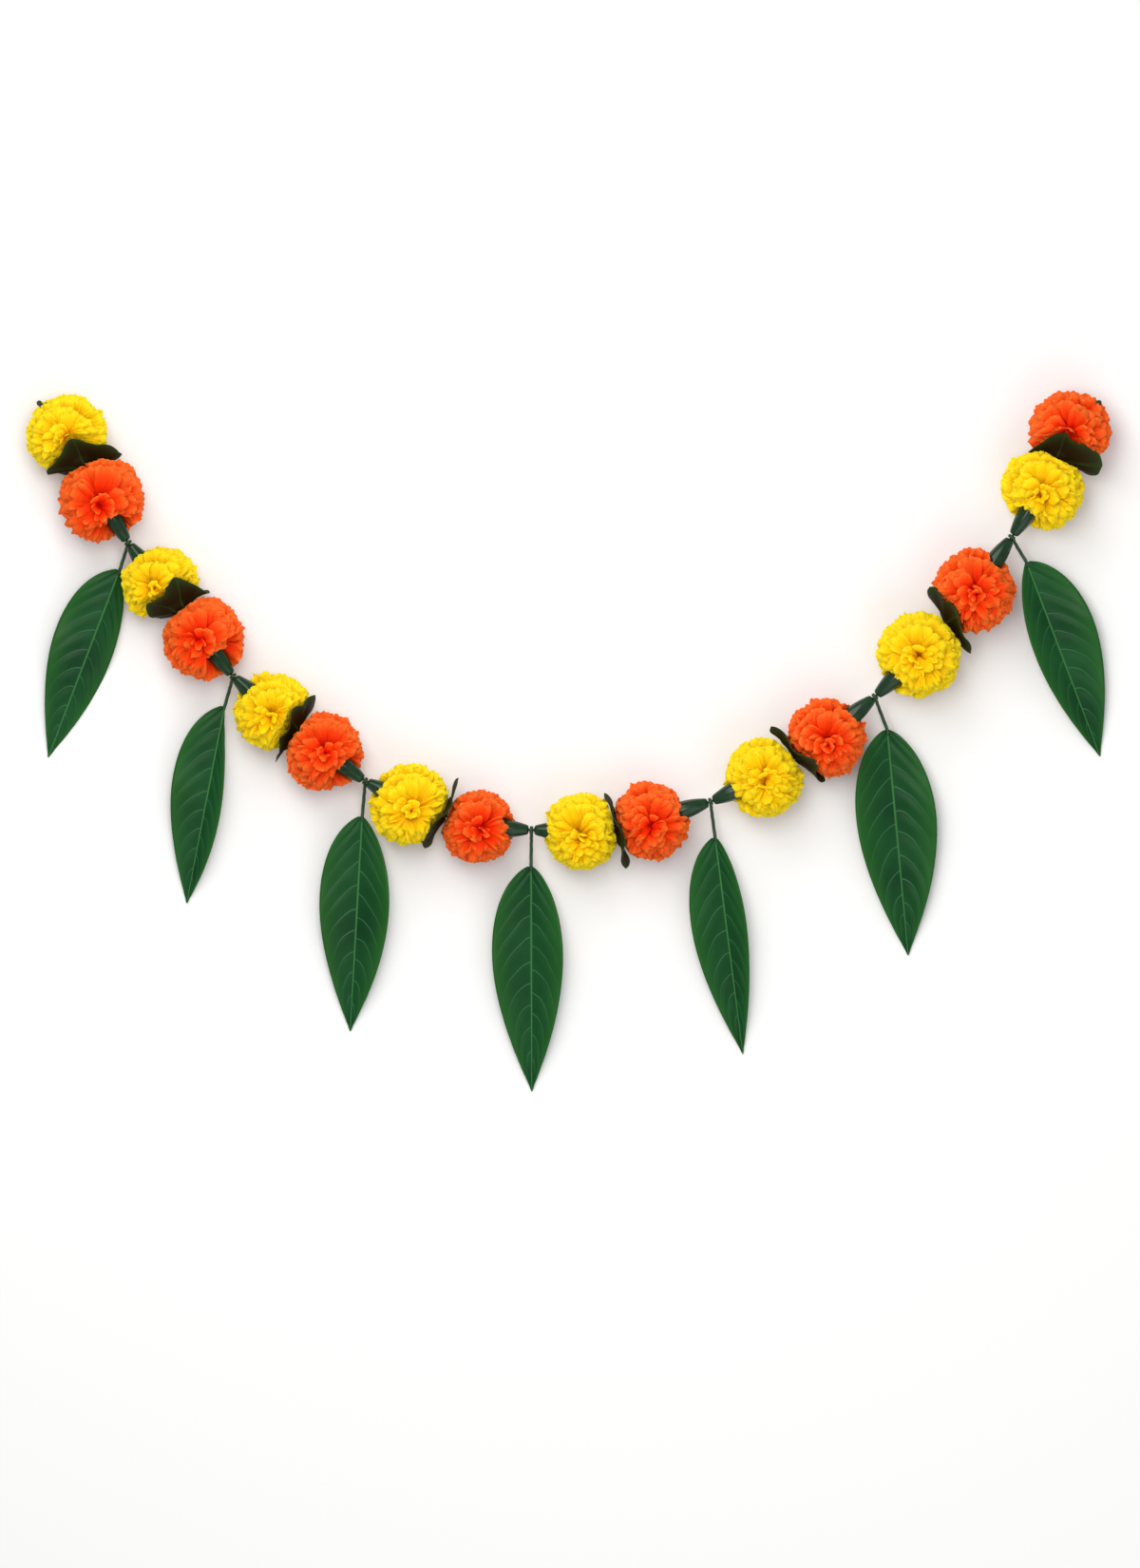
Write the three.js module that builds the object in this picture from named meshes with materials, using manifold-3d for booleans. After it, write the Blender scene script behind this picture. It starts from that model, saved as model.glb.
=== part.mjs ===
// Marigold garland with mango leaves, laid out in a bow on a flat surface.
// Millimetres, +Z up. The surface is z = 0, X runs along the garland from its left end to its
// right one, and Y runs from the leaf tips to the two ends. The origin is under the middle.
//
// Sixteen blooms sit on one cord in eight pairs, yellow then orange, with a four-lobed leaf
// skirt between the two of a pair. Seven knots join the pairs. At each knot two calyx cones
// meet narrow end to narrow end, and one long leaf hangs by its stem from a wound ring.

import * as THREE from "three";
import { mergeVertices } from "three/addons/utils/BufferGeometryUtils.js";
import Module from "manifold-3d";

const wasm = await Module();
wasm.setup();

// The cord's route, from the left end to the right one: what sits there, x, y, and the
// radius of a bloom. A bloom's middle is as high as the bloom is when it rests.
const route = [
  { what: "end", x: -381, y: 244.5 },
  { what: "yellow", x: -359, y: 219.6, radius: 29.6 },
  { what: "orange", x: -334.6, y: 174.4, radius: 31.2 },
  { what: "knot", x: -315.7, y: 142.5 },
  { what: "yellow", x: -292.4, y: 112.9, radius: 28.6 },
  { what: "orange", x: -261.5, y: 74.1, radius: 29.9 },
  { what: "knot", x: -240.6, y: 47.1 },
  { what: "yellow", x: -212.2, y: 22.4, radius: 28.2 },
  { what: "orange", x: -175.4, y: -6.8, radius: 28.6 },
  { what: "knot", x: -146, y: -27.9 },
  { what: "yellow", x: -114.2, y: -44.2, radius: 29.9 },
  { what: "orange", x: -65.3, y: -60.5, radius: 27 },
  { what: "knot", x: -26.9, y: -63 },
  { what: "yellow", x: 8.8, y: -63.6, radius: 28 },
  { what: "orange", x: 58.1, y: -56.1, radius: 28.6 },
  { what: "knot", x: 101.3, y: -42.7 },
  { what: "yellow", x: 138.7, y: -25.5, radius: 29.2 },
  { what: "orange", x: 183.9, y: 3.1, radius: 28.9 },
  { what: "knot", x: 219, y: 32.4 },
  { what: "yellow", x: 250.9, y: 62.6, radius: 31.2 },
  { what: "orange", x: 289.7, y: 108.5, radius: 30.3 },
  { what: "knot", x: 317, y: 146.7 },
  { what: "yellow", x: 339.3, y: 181.6, radius: 30.3 },
  { what: "orange", x: 358.4, y: 221.7, radius: 29.9 },
  { what: "end", x: 381, y: 244.5 },
];
const restShare = 0.955; // the height of a bloom's middle, as its petals are pressed flat
const knotHeight = 27; // the cord's height where two pairs are tied together
const endHeight = 29;

// The cord and what is threaded on it.
const cordRadius = 1;
const boreRadius = 1.6; // the way for the cord through everything that it carries
const endKnotRadius = 2.8;
const endKnotSpare = 0.5; // the room that the end blooms leave it
const gap = 0.35; // the least space left between two pieces
const cordSides = 8;
const shortEdge = 0.18; // shorter edges are drawn together

// A bloom is a ball of crinkled petals in whorls round the axis of its face. The petals
// rise from a smaller core, and each whorl leans away from the face.
const coreShare = 0.7; // of the bloom's radius, at the foot of the grooves between petals
const notchShare = 0.84; // between two petals of a whorl
const petalCorners = [-0.29, 0.25]; // where a petal's two corners are, in pitches from its middle
const rimThickness = 1; // of a petal along its rim
const petalCrimp = 2.8; // how far the rim is folded to and fro
const rimTooth = 0.05; // how much one corner of a petal stands short, as a share of the radius
const whorlLean = 5; // degrees that the rims lean away from the face
const faceTilt = 24; // degrees that the face leans from straight up towards the leaf tips
const faceTiltSpread = 10;
const faceTurnSpread = 28;
const whorls = [
  { polar: 15, petals: 3 },
  { polar: 41, petals: 5 },
  { polar: 67, petals: 7 },
  { polar: 94, petals: 7 },
  { polar: 122, petals: 5 },
  { polar: 152, petals: 3 },
];

// A calyx cone is closed at its narrow end but for the cord, and toothed at its wide end.
const calyxLength = 20.4;
const calyxNarrow = 3.9;
const calyxBelly = 6.4;
const calyxWide = 7.4;
const calyxTooth = 3.5;
const calyxStart = 2.3; // from the middle of the knot
const calyxTeeth = 4;
const calyxShoulder = 0.8; // how much the narrow end is rounded off
const calyxHollow = 2; // how deep the wide end is dished
const calyxSpare = 1.2; // the room that petals leave round a calyx

// The ring that a leaf's stem is wound into round the cord.
const ringRadius = 3.3;
const ringLength = 2.6;
const ringBevel = 0.6;
const ringSides = 7;

// A leaf skirt has four pointed lobes that bend towards the higher bloom of its pair.
const skirtReach = 29.5;
const skirtNotch = 21.5;
const skirtShoulder = 0.83; // of the reach, between a tip and a notch
const skirtHole = 1.8;
const skirtFlat = 9; // the distance from the cord over which the bend sets in
const skirtThickness = 0.9;
const skirtFloor = 0.4; // the lobe underneath stops this far over the surface
const skirtSpare = 2.2; // the room that petals leave it, in half thicknesses with their gap
const skirtSpareForBend = 4.8; // more of that room for each radian that it bends
const skirtShield = 5.4; // how far the lower bloom may follow it towards the higher one
const skirtCup = 3; // degrees that every lobe bends
const skirtSpread = 0.8; // a smaller one spreads a lobe's own bend further to both sides
// How many degrees more its lobes bend, on top and at the left and right, how far it is turned
// on the cord, and how far its middle has slipped to the right, as a share of its reach.
const skirtShapes = [
  { lean: 46, left: 8, right: -15, roll: 8, slip: 0 },
  { lean: 40, left: 22, right: 4, roll: 34, slip: 0 },
  { lean: 20, left: -5, right: 7, roll: 10, slip: 0 },
  { lean: 6, left: 11, right: -5, roll: 0, slip: 0 },
  { lean: 4, left: -6, right: 5, roll: 0, slip: 0.15 },
  { lean: 8, left: -6, right: 14, roll: 12, slip: 0 },
  { lean: 16, left: 14, right: -19, roll: 6, slip: 0 },
  { lean: 46, left: -16, right: 4, roll: -8, slip: 0.16 },
];

// Leaves: where the blade starts and ends, its half widths seen from above to the left and
// right of its midrib, how far each half lifts (degrees), and how slowly each half widens.
const leafShapes = [
  {
    base: [-322, 123.4], tip: [-373.9, -10.9],
    left: 27.7, right: 16.9, lifts: [6, -24],
    rises: [0.62, 0.82],
  },
  {
    base: [-246.8, 25.8], tip: [-274.4, -115.6],
    left: 26.9, right: 11.6, lifts: [8, 40],
    rises: [0.62, 1.3],
  },
  {
    base: [-148.2, -53], tip: [-157.1, -207.4],
    left: 27.2, right: 23, lifts: [10, 24],
    rises: [0.62, 0.8],
  },
  {
    base: [-27.2, -88.7], tip: [-26.7, -250.6],
    left: 28.2, right: 22.6, lifts: [12, 24],
    rises: [0.62, 0.72],
  },
  {
    base: [104.7, -68], tip: [124.8, -223.7],
    left: 25.2, right: 14.1, lifts: [12, 38],
    rises: [0.62, 0.75],
  },
  {
    base: [228.1, 9.2], tip: [243.4, -153],
    left: 28.2, right: 29.1, lifts: [14, 12],
    rises: [0.62, 0.7],
  },
  {
    base: [327.8, 129.2], tip: [381.1, -10.2],
    left: 18.2, right: 30.1, lifts: [30, 8],
    rises: [0.8, 0.62],
  },
];
const leafBaseHeight = 15;
const leafTipHeight = 0.6;
const leafThickness = 0.9;
const leafTaper = 1.05; // how slowly it narrows to its tip
const leafDroop = 1.4; // how late the midrib comes down to the surface
const leafWave = 1.4; // how far the edge rises and falls
const leafWaves = 2.5;
const stemRadius = 1.1;
const stemSag = 5; // how far its middle hangs under a straight line
const leafRows = [0, 0.06, 0.16, 0.3, 0.46, 0.62, 0.78, 0.92, 1];
const ribHalfWidth = 1.6;
const ribTipWidth = 0.4;
const ribHeight = 1.1; // of the midrib over the blade, where it starts
const ribFade = 0.6; // the share of that height lost at the tip

const radians = THREE.MathUtils.degToRad;
const up = new THREE.Vector3(0, 0, 1);

// The same seed gives the same petals each time.
function seededDraw(seed) {
  let state = seed;
  return (low, high) => {
    state = (Math.imul(state, 1664525) + 1013904223) >>> 0;
    return low + (high - low) * (state / 4294967296);
  };
}

function solidFrom(geometry) {
  const bare = geometry.clone();
  bare.deleteAttribute("normal");
  bare.deleteAttribute("uv");
  const merged = mergeVertices(bare, 1e-4);
  return new wasm.Manifold(
    new wasm.Mesh({
      numProp: 3,
      vertProperties: new Float32Array(merged.attributes.position.array),
      triVerts: new Uint32Array(merged.index.array),
    }),
  );
}

function geometryFrom(solid) {
  const mesh = solid.getMesh();
  const stride = mesh.numProp;
  const positions = new Float32Array(mesh.numVert * 3);
  for (let i = 0; i < mesh.numVert; i++) {
    positions.set(mesh.vertProperties.subarray(i * stride, i * stride + 3), i * 3);
  }
  const geometry = new THREE.BufferGeometry();
  geometry.setAttribute("position", new THREE.BufferAttribute(positions, 3));
  geometry.setIndex(new THREE.BufferAttribute(new Uint32Array(mesh.triVerts), 1));
  return geometry;
}

// The largest body of a solid, with short edges and loose scraps dropped.
function mainBody(solid) {
  const bodies = solid.simplify(shortEdge).decompose();
  return bodies.reduce((best, body) => (body.volume() > best.volume() ? body : best));
}

// A closed thin sheet between two grids of points, both rows x columns, row by row. A
// wrapped sheet joins its last column to its first one.
function sheetGeometry(front, back, rows, columns, wrapped) {
  const count = rows * columns;
  const index = [];
  const quad = (a, b, c, d) => index.push(a, b, c, a, c, d);
  const cells = wrapped ? columns : columns - 1;
  for (let row = 0; row < rows - 1; row++) {
    for (let cell = 0; cell < cells; cell++) {
      const here = row * columns + cell;
      const next = row * columns + ((cell + 1) % columns);
      quad(here, next, next + columns, here + columns);
      quad(count + here + columns, count + next + columns, count + next, count + here);
    }
  }
  for (let cell = 0; cell < cells; cell++) {
    const far = (rows - 1) * columns;
    const next = (cell + 1) % columns;
    quad(count + cell, count + next, next, cell);
    quad(far + cell, far + next, count + far + next, count + far + cell);
  }
  if (!wrapped) {
    for (let row = 0; row < rows - 1; row++) {
      const first = row * columns;
      const last = first + columns - 1;
      quad(first, first + columns, count + first + columns, count + first);
      quad(count + last, count + last + columns, last + columns, last);
    }
  }
  const geometry = new THREE.BufferGeometry();
  geometry.setFromPoints([...front, ...back]);
  geometry.setIndex(index);
  return facingOut(geometry);
}

// Turns a closed indexed geometry's faces outwards if they point in.
function facingOut(geometry) {
  const position = geometry.getAttribute("position");
  const index = geometry.getIndex().array;
  const [a, b, c] = [new THREE.Vector3(), new THREE.Vector3(), new THREE.Vector3()];
  let volume = 0;
  for (let i = 0; i < index.length; i += 3) {
    a.fromBufferAttribute(position, index[i]);
    b.fromBufferAttribute(position, index[i + 1]);
    c.fromBufferAttribute(position, index[i + 2]);
    volume += a.dot(b.cross(c));
  }
  if (volume < 0) {
    const turned = [];
    for (let i = 0; i < index.length; i += 3) turned.push(index[i], index[i + 2], index[i + 1]);
    geometry.setIndex(turned);
  }
  return geometry;
}

// A round bar through a list of points: a cylinder whose rings are moved onto them. The
// bar lies more or less level, so each ring is turned by the way up.
function barThrough(points, sides, radius) {
  const steps = points.length - 1;
  const geometry = new THREE.CylinderGeometry(1, 1, 1, sides, steps);
  const position = geometry.getAttribute("position");
  for (let i = 0; i < position.count; i++) {
    const ring = Math.round((0.5 - position.getY(i)) * steps);
    const ahead = points[Math.min(ring + 1, steps)];
    const tangent = ahead.clone().sub(points[Math.max(ring - 1, 0)]).normalize();
    const across = new THREE.Vector3().crossVectors(tangent, up).normalize();
    const rise = new THREE.Vector3().crossVectors(across, tangent);
    const place = points[ring]
      .clone()
      .addScaledVector(across, position.getX(i) * radius)
      .addScaledVector(rise, position.getZ(i) * radius);
    position.setXYZ(i, place.x, place.y, place.z);
  }
  geometry.deleteAttribute("normal");
  geometry.deleteAttribute("uv");
  return facingOut(mergeVertices(geometry, 1e-4));
}

function turnedTo(geometry, direction, place) {
  const turn = new THREE.Quaternion().setFromUnitVectors(new THREE.Vector3(0, 1, 0), direction);
  geometry.applyQuaternion(turn);
  geometry.translate(place.x, place.y, place.z);
  return geometry;
}

const stations = route.map((station) => {
  const heights = { end: endHeight, knot: knotHeight };
  const height = station.radius ? station.radius * restShare : heights[station.what];
  return { ...station, place: new THREE.Vector3(station.x, station.y, height) };
});
const cordPoints = stations.map((station) => station.place);

function cordSolid() {
  let cord = solidFrom(barThrough(cordPoints, cordSides, cordRadius));
  for (const end of [cordPoints[0], cordPoints.at(-1)]) cord = cord.add(endKnot(end, endKnotRadius));
  return mainBody(cord);
}

// A skirt's frame: its middle on the cord, the way to the higher bloom, the way up from the
// cord, and the way across.
function skirtFrame(pair) {
  const [first, second] = [stations[pair.first], stations[pair.first + 1]];
  const higher = pair.number <= 4 ? first : second;
  const lower = higher === first ? second : first;
  const toHigher = higher.place.clone().sub(lower.place);
  const share = lower.radius / (lower.radius + higher.radius);
  const middle = lower.place.clone().addScaledVector(toHigher, share);
  toHigher.normalize();
  const across = new THREE.Vector3().crossVectors(toHigher, up).normalize();
  const rise = new THREE.Vector3().crossVectors(across, toHigher);
  const shape = skirtShapes[pair.number - 1];
  return { middle, toHigher, across, rise, shape, roll: radians(shape.roll), higher, lower };
}

// How far a skirt bends towards the higher bloom, at an angle from straight up over the cord
// to its right. It is flat where the cord goes through.
function skirtBend(frame, distance, angle) {
  const share = (turn) => Math.max(0, Math.cos(angle - turn)) ** skirtSpread;
  const { lean, left, right } = frame.shape;
  const sides = left * share(-Math.PI / 2) + right * share(Math.PI / 2);
  return radians(skirtCup + lean * share(0) + sides) * Math.min(1, distance / skirtFlat);
}

function skirtPoint(frame, angle, distance, side) {
  const direction = frame.rise
    .clone()
    .multiplyScalar(Math.cos(angle))
    .addScaledVector(frame.across, Math.sin(angle));
  const bend = skirtBend(frame, distance, angle);
  const flat = distance * Math.cos(bend);
  const place = frame.middle
    .clone()
    .addScaledVector(direction, flat)
    .addScaledVector(frame.toHigher, flat * Math.tan(bend) + side * skirtThickness * 0.5);
  place.z = Math.max(place.z, skirtFloor);
  return place;
}

function skirtSolid(frame) {
  const columns = 16;
  const front = [];
  const back = [];
  // Each lobe takes four columns: the notch, a shoulder, the tip and a shoulder.
  const shoulder = skirtReach * skirtShoulder;
  const reaches = [skirtNotch, shoulder, skirtReach, shoulder];
  for (const share of [0, 0.45, 1]) {
    for (let column = 0; column < columns; column++) {
      const angle = frame.roll + ((column - 2) / columns) * Math.PI * 2;
      const reach = reaches[column % 4] * (1 + frame.shape.slip * Math.sin(angle));
      const distance = skirtHole + share * (reach - skirtHole);
      front.push(skirtPoint(frame, angle, distance, 1));
      back.push(skirtPoint(frame, angle, distance, -1));
    }
  }
  return mainBody(solidFrom(sheetGeometry(front, back, 3, columns, true)));
}

function calyxSolid(knot, bloom) {
  const direction = bloom.place.clone().sub(knot.place).normalize();
  const profile = [
    new THREE.Vector2(boreRadius, 0),
    new THREE.Vector2(calyxNarrow - calyxShoulder, 0),
    new THREE.Vector2(calyxNarrow, calyxShoulder * 1.75),
    new THREE.Vector2(calyxBelly, calyxLength * 0.5),
    new THREE.Vector2(calyxWide, calyxLength),
    new THREE.Vector2(boreRadius, calyxLength - calyxHollow),
    new THREE.Vector2(boreRadius, 0),
  ];
  const geometry = new THREE.LatheGeometry(profile, calyxTeeth * 2);
  const position = geometry.getAttribute("position");
  const rim = 4;
  for (let i = 0; i < position.count; i++) {
    const isRim = i % profile.length === rim;
    const side = Math.floor(i / profile.length);
    if (isRim && side % 2 === 0) position.setY(i, calyxLength + calyxTooth);
  }
  const start = knot.place.clone().addScaledVector(direction, calyxStart);
  return mainBody(solidFrom(turnedTo(geometry, direction, start)));
}

// The room that a bloom leaves round a calyx.
function calyxRoom(knot, bloom) {
  const direction = bloom.place.clone().sub(knot.place).normalize();
  const length = calyxLength + calyxTooth + gap;
  const radius = calyxWide + calyxSpare * 0.75;
  const geometry = new THREE.CylinderGeometry(radius, radius, length, calyxTeeth * 2);
  geometry.translate(0, length / 2, 0);
  const start = knot.place.clone().addScaledVector(direction, calyxStart);
  return solidFrom(turnedTo(geometry, direction, start));
}

// Tells whether a place is on the bloom's own side of the skirt.
function besideSkirt(place, bloom) {
  const frame = bloom.frame;
  const local = place.clone().sub(frame.middle);
  const along = local.dot(frame.toHigher);
  const [rise, across] = [local.dot(frame.rise), local.dot(frame.across)];
  const distance = Math.hypot(rise, across);
  const bend = skirtBend(frame, distance, Math.atan2(across, rise));
  const offset = distance * Math.tan(bend);
  const spare = (skirtThickness / 2 + gap) * (skirtSpare + Math.abs(bend) * skirtSpareForBend);
  if (bloom === frame.higher) return along > offset + spare;
  return along < Math.min(offset, skirtShield) - spare;
}

// Tells whether a place is clear of the calyx that comes in from a knot. On the higher
// bloom of a knot the cone shows, so nothing lies over it either.
function besideCalyx(place, bloom, knot) {
  const inward = knot.place.clone().sub(bloom.place);
  const start = inward.length() - calyxStart - calyxLength - calyxTooth - gap;
  inward.normalize();
  const local = place.clone().sub(bloom.place);
  const along = local.dot(inward);
  const across = new THREE.Vector3().crossVectors(inward, up).normalize();
  const side = Math.abs(local.dot(across));
  const height = local.dot(new THREE.Vector3().crossVectors(across, inward));
  const room = calyxWide + calyxSpare;
  if (along > start && Math.hypot(side, height) < room) return false;
  const shows = bloom.place.y > knot.place.y;
  return !(shows && along > start + calyxTooth && height > 0 && side < room);
}

// Draws a place back towards the bloom's middle until it is clear of what lies round it.
function keptClear(point, bloom, knot) {
  const away = point.clone().sub(bloom.place);
  const at = (share) => bloom.place.clone().addScaledVector(away, share);
  const clear = (share) =>
    besideSkirt(at(share), bloom) && (!knot || besideCalyx(at(share), bloom, knot));
  if (clear(1)) return point;
  let [low, high] = [0, 1];
  for (let i = 0; i < 14; i++) {
    const middle = (low + high) / 2;
    if (clear(middle)) low = middle;
    else high = middle;
  }
  return at(low);
}

function faceAxes(draw) {
  const tilt = radians(faceTilt + draw(-faceTiltSpread, faceTiltSpread));
  const turn = radians(draw(-faceTurnSpread, faceTurnSpread));
  const face = new THREE.Vector3(0, -Math.sin(tilt), Math.cos(tilt)).applyAxisAngle(up, turn);
  const first = new THREE.Vector3().crossVectors(face, new THREE.Vector3(0, 1, 0)).normalize();
  const second = new THREE.Vector3().crossVectors(face, first);
  return { face, first, second };
}

// One whorl's columns round the face axis: each petal has two corners at its rim, folded
// one forward and one back, and a notch after it.
function whorlColumns(whorl, draw) {
  const pitch = (Math.PI * 2) / whorl.petals;
  const start = draw(0, pitch);
  const columns = [];
  for (let petal = 0; petal < whorl.petals; petal++) {
    const middle = start + (petal + draw(-0.1, 0.1)) * pitch;
    const size = draw(0.98, 1.04);
    const [early, late] = petalCorners.map((share) => middle + pitch * share);
    columns.push({ turn: early, reach: size, fold: draw(0.6, 1) });
    columns.push({ turn: late, reach: size - rimTooth, fold: -draw(0.6, 1) });
    columns.push({ turn: start + (petal + 0.5) * pitch, reach: notchShare, fold: 0 });
  }
  return columns;
}

// Joins two rings of vertices round the same axis, which may differ in number.
function stitch(index, upper, lower) {
  let [i, j] = [0, 0];
  while (i < upper.length || j < lower.length) {
    const nextUpper = upper[(i + 1) % upper.length];
    const nextLower = lower[(j + 1) % lower.length];
    const upperTurn = nextUpper.turn + (i + 1 >= upper.length ? Math.PI * 2 : 0);
    const lowerTurn = nextLower.turn + (j + 1 >= lower.length ? Math.PI * 2 : 0);
    const takeUpper = j >= lower.length || (i < upper.length && upperTurn <= lowerTurn);
    const [a, b] = [upper[i % upper.length].vertex, lower[j % lower.length].vertex];
    if (takeUpper) index.push(a, b, nextUpper.vertex);
    else index.push(a, b, nextLower.vertex);
    if (takeUpper) i += 1;
    else j += 1;
  }
}

function bloomGeometry(bloom, number, knot) {
  const draw = seededDraw(number * 7919 + (bloom.what === "orange" ? 104729 : 1));
  const axes = faceAxes(draw);
  const points = [];
  const index = [];
  const addPoint = (polar, turn, reach) => {
    const direction = axes.first
      .clone()
      .multiplyScalar(Math.cos(turn) * Math.sin(polar))
      .addScaledVector(axes.second, Math.sin(turn) * Math.sin(polar))
      .addScaledVector(axes.face, Math.cos(polar));
    const point = bloom.place.clone().addScaledVector(direction, reach * bloom.radius);
    points.push(keptClear(point, bloom, knot));
    return points.length - 1;
  };
  const halfRim = rimThickness / 2 / bloom.radius;
  const crimp = petalCrimp / bloom.radius;
  const fan = (pole, ring) => {
    ring.forEach((column, i) => index.push(pole, column.vertex, ring[(i + 1) % ring.length].vertex));
  };
  let lastRing = null;
  whorls.forEach((whorl, row) => {
    const columns = whorlColumns(whorl, draw);
    const before = row ? (whorls[row - 1].polar + whorl.polar) / 2 : 0;
    const ringAt = (offset, reachOf) =>
      columns.map((column) => {
        const polar = radians(whorl.polar + whorlLean) + column.fold * crimp + offset;
        return { turn: column.turn, vertex: addPoint(polar, column.turn, reachOf(column)) };
      });
    if (row) {
      const valley = columns.map((column) => {
        const vertex = addPoint(radians(before), column.turn, coreShare);
        return { turn: column.turn, vertex };
      });
      stitch(index, lastRing, valley);
      lastRing = valley;
    }
    const front = ringAt(-halfRim, (column) => column.reach);
    const back = ringAt(halfRim, (column) => column.reach);
    if (row) stitch(index, lastRing, front);
    else fan(addPoint(0, 0, coreShare), front);
    stitch(index, front, back);
    lastRing = back;
  });
  const tail = addPoint(Math.PI, 0, coreShare);
  const ends = lastRing.map((column) => column.vertex);
  ends.forEach((vertex, i) => index.push(tail, ends[(i + 1) % ends.length], vertex));
  const geometry = new THREE.BufferGeometry();
  geometry.setFromPoints(points);
  geometry.setIndex(index);
  return facingOut(geometry);
}

// What the surface presses flat: everything under z = 0 near a bloom.
function underSurface(bloom) {
  const size = bloom.radius * 2.4;
  const geometry = new THREE.BoxGeometry(size, size, size);
  geometry.translate(bloom.place.x, bloom.place.y, -size / 2);
  return solidFrom(geometry);
}

function endKnot(place, radius) {
  const geometry = new THREE.IcosahedronGeometry(radius, 0);
  geometry.translate(place.x, place.y, place.z);
  return solidFrom(geometry);
}

function bloomSolid(bloom, number, knot) {
  const middle = cordPoints.indexOf(bloom.place);
  const bore = solidFrom(barThrough(cordPoints.slice(middle - 1, middle + 2), cordSides, boreRadius));
  let solid = solidFrom(bloomGeometry(bloom, number, knot)).subtract(bore);
  if (knot) solid = solid.subtract(calyxRoom(knot, bloom));
  for (const end of [cordPoints[0], cordPoints.at(-1)]) {
    solid = solid.subtract(endKnot(end, endKnotRadius + endKnotSpare));
  }
  return mainBody(solid.subtract(underSurface(bloom)));
}

// A leaf's half width along its length, as a share of its widest place. With a higher rise
// it is widest further from its base.
function leafOutline(share, rise) {
  const widest = rise / (rise + leafTaper);
  return (share / widest) ** rise * ((1 - share) / (1 - widest)) ** leafTaper;
}

function leafSolid(shape, knot) {
  const base = new THREE.Vector3(...shape.base, leafBaseHeight);
  const tip = new THREE.Vector3(...shape.tip, leafTipHeight);
  const run = tip.clone().sub(base).setZ(0).normalize();
  const right = new THREE.Vector3(-run.y, run.x, 0);
  const midribAt = (share) => {
    const place = base.clone().lerp(tip, share);
    place.z = leafTipHeight + (leafBaseHeight - leafTipHeight) * (1 - share ** leafDroop);
    return place;
  };
  const front = [];
  const back = [];
  for (const share of leafRows) {
    const rib = THREE.MathUtils.lerp(ribHalfWidth, ribTipWidth, share);
    for (const column of [-2, -1, 0, 1, 2]) {
      const side = column < 0 ? 0 : 1;
      const isEdge = Math.abs(column) === 2;
      const outline = leafOutline(share, shape.rises[side]);
      const reach = [shape.left, shape.right][side] * outline;
      const half = isEdge ? Math.max(reach, rib + ribTipWidth) : rib * Math.abs(column);
      const lift = radians(shape.lifts[side]);
      const phase = share * leafWaves * Math.PI * 2 + (column < 0 ? 0 : 2);
      const wave = isEdge ? leafWave * Math.sin(phase) * outline : 0;
      const place = midribAt(share).addScaledVector(right, Math.sign(column) * half);
      place.z = Math.max(place.z + half * Math.tan(lift) + wave, leafThickness / 2);
      const raised = column === 0 ? ribHeight * (1 - share * ribFade) : 0;
      front.push(place.clone().setZ(place.z + leafThickness / 2 + raised));
      back.push(place.clone().setZ(place.z - leafThickness / 2));
    }
  }
  const blade = solidFrom(sheetGeometry(front, back, leafRows.length, 5, false));

  const stemWay = base.clone().sub(knot.place).setZ(-30).normalize();
  const stemCurve = new THREE.CatmullRomCurve3([
    knot.place.clone().addScaledVector(stemWay, boreRadius + 1.2),
    knot.place.clone().lerp(base, 0.4).addScaledVector(up, -stemSag),
    base.clone().addScaledVector(up, 0.4),
    midribAt(0.03).addScaledVector(up, 0.3),
  ]);
  const stem = solidFrom(barThrough(stemCurve.getPoints(6), 5, stemRadius));
  const ringProfile = [
    new THREE.Vector2(boreRadius, -ringLength / 2),
    new THREE.Vector2(ringRadius - ringBevel, -ringLength / 2),
    new THREE.Vector2(ringRadius, 0),
    new THREE.Vector2(ringRadius - ringBevel, ringLength / 2),
    new THREE.Vector2(boreRadius, ringLength / 2),
    new THREE.Vector2(boreRadius, -ringLength / 2),
  ];
  const ringGeometry = new THREE.LatheGeometry(ringProfile, ringSides);
  const ring = solidFrom(turnedTo(ringGeometry, knot.direction, knot.place));
  return mainBody(wasm.Manifold.union([blade, stem, ring]));
}

const plastic = { roughness: 0.32, metalness: 0 };
const materials = {
  yellow: new THREE.MeshStandardMaterial({ color: 0xf7c800, roughness: 0.75 }),
  orange: new THREE.MeshStandardMaterial({ color: 0xf4500e, roughness: 0.75 }),
  calyx: new THREE.MeshStandardMaterial({ color: 0x1d3a2a, ...plastic }),
  leaf: new THREE.MeshStandardMaterial({ color: 0x17552c, roughness: 0.45 }),
  skirt: new THREE.MeshStandardMaterial({ color: 0x2a2410, roughness: 0.5 }),
  cord: new THREE.MeshStandardMaterial({ color: 0x101a12, roughness: 0.8 }),
};

const garland = new THREE.Group();

function addPiece(name, solid, material, place) {
  const geometry = geometryFrom(solid);
  geometry.translate(-place.x, -place.y, -place.z);
  const mesh = new THREE.Mesh(geometry, material);
  mesh.name = name;
  mesh.position.copy(place);
  garland.add(mesh);
}

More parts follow.
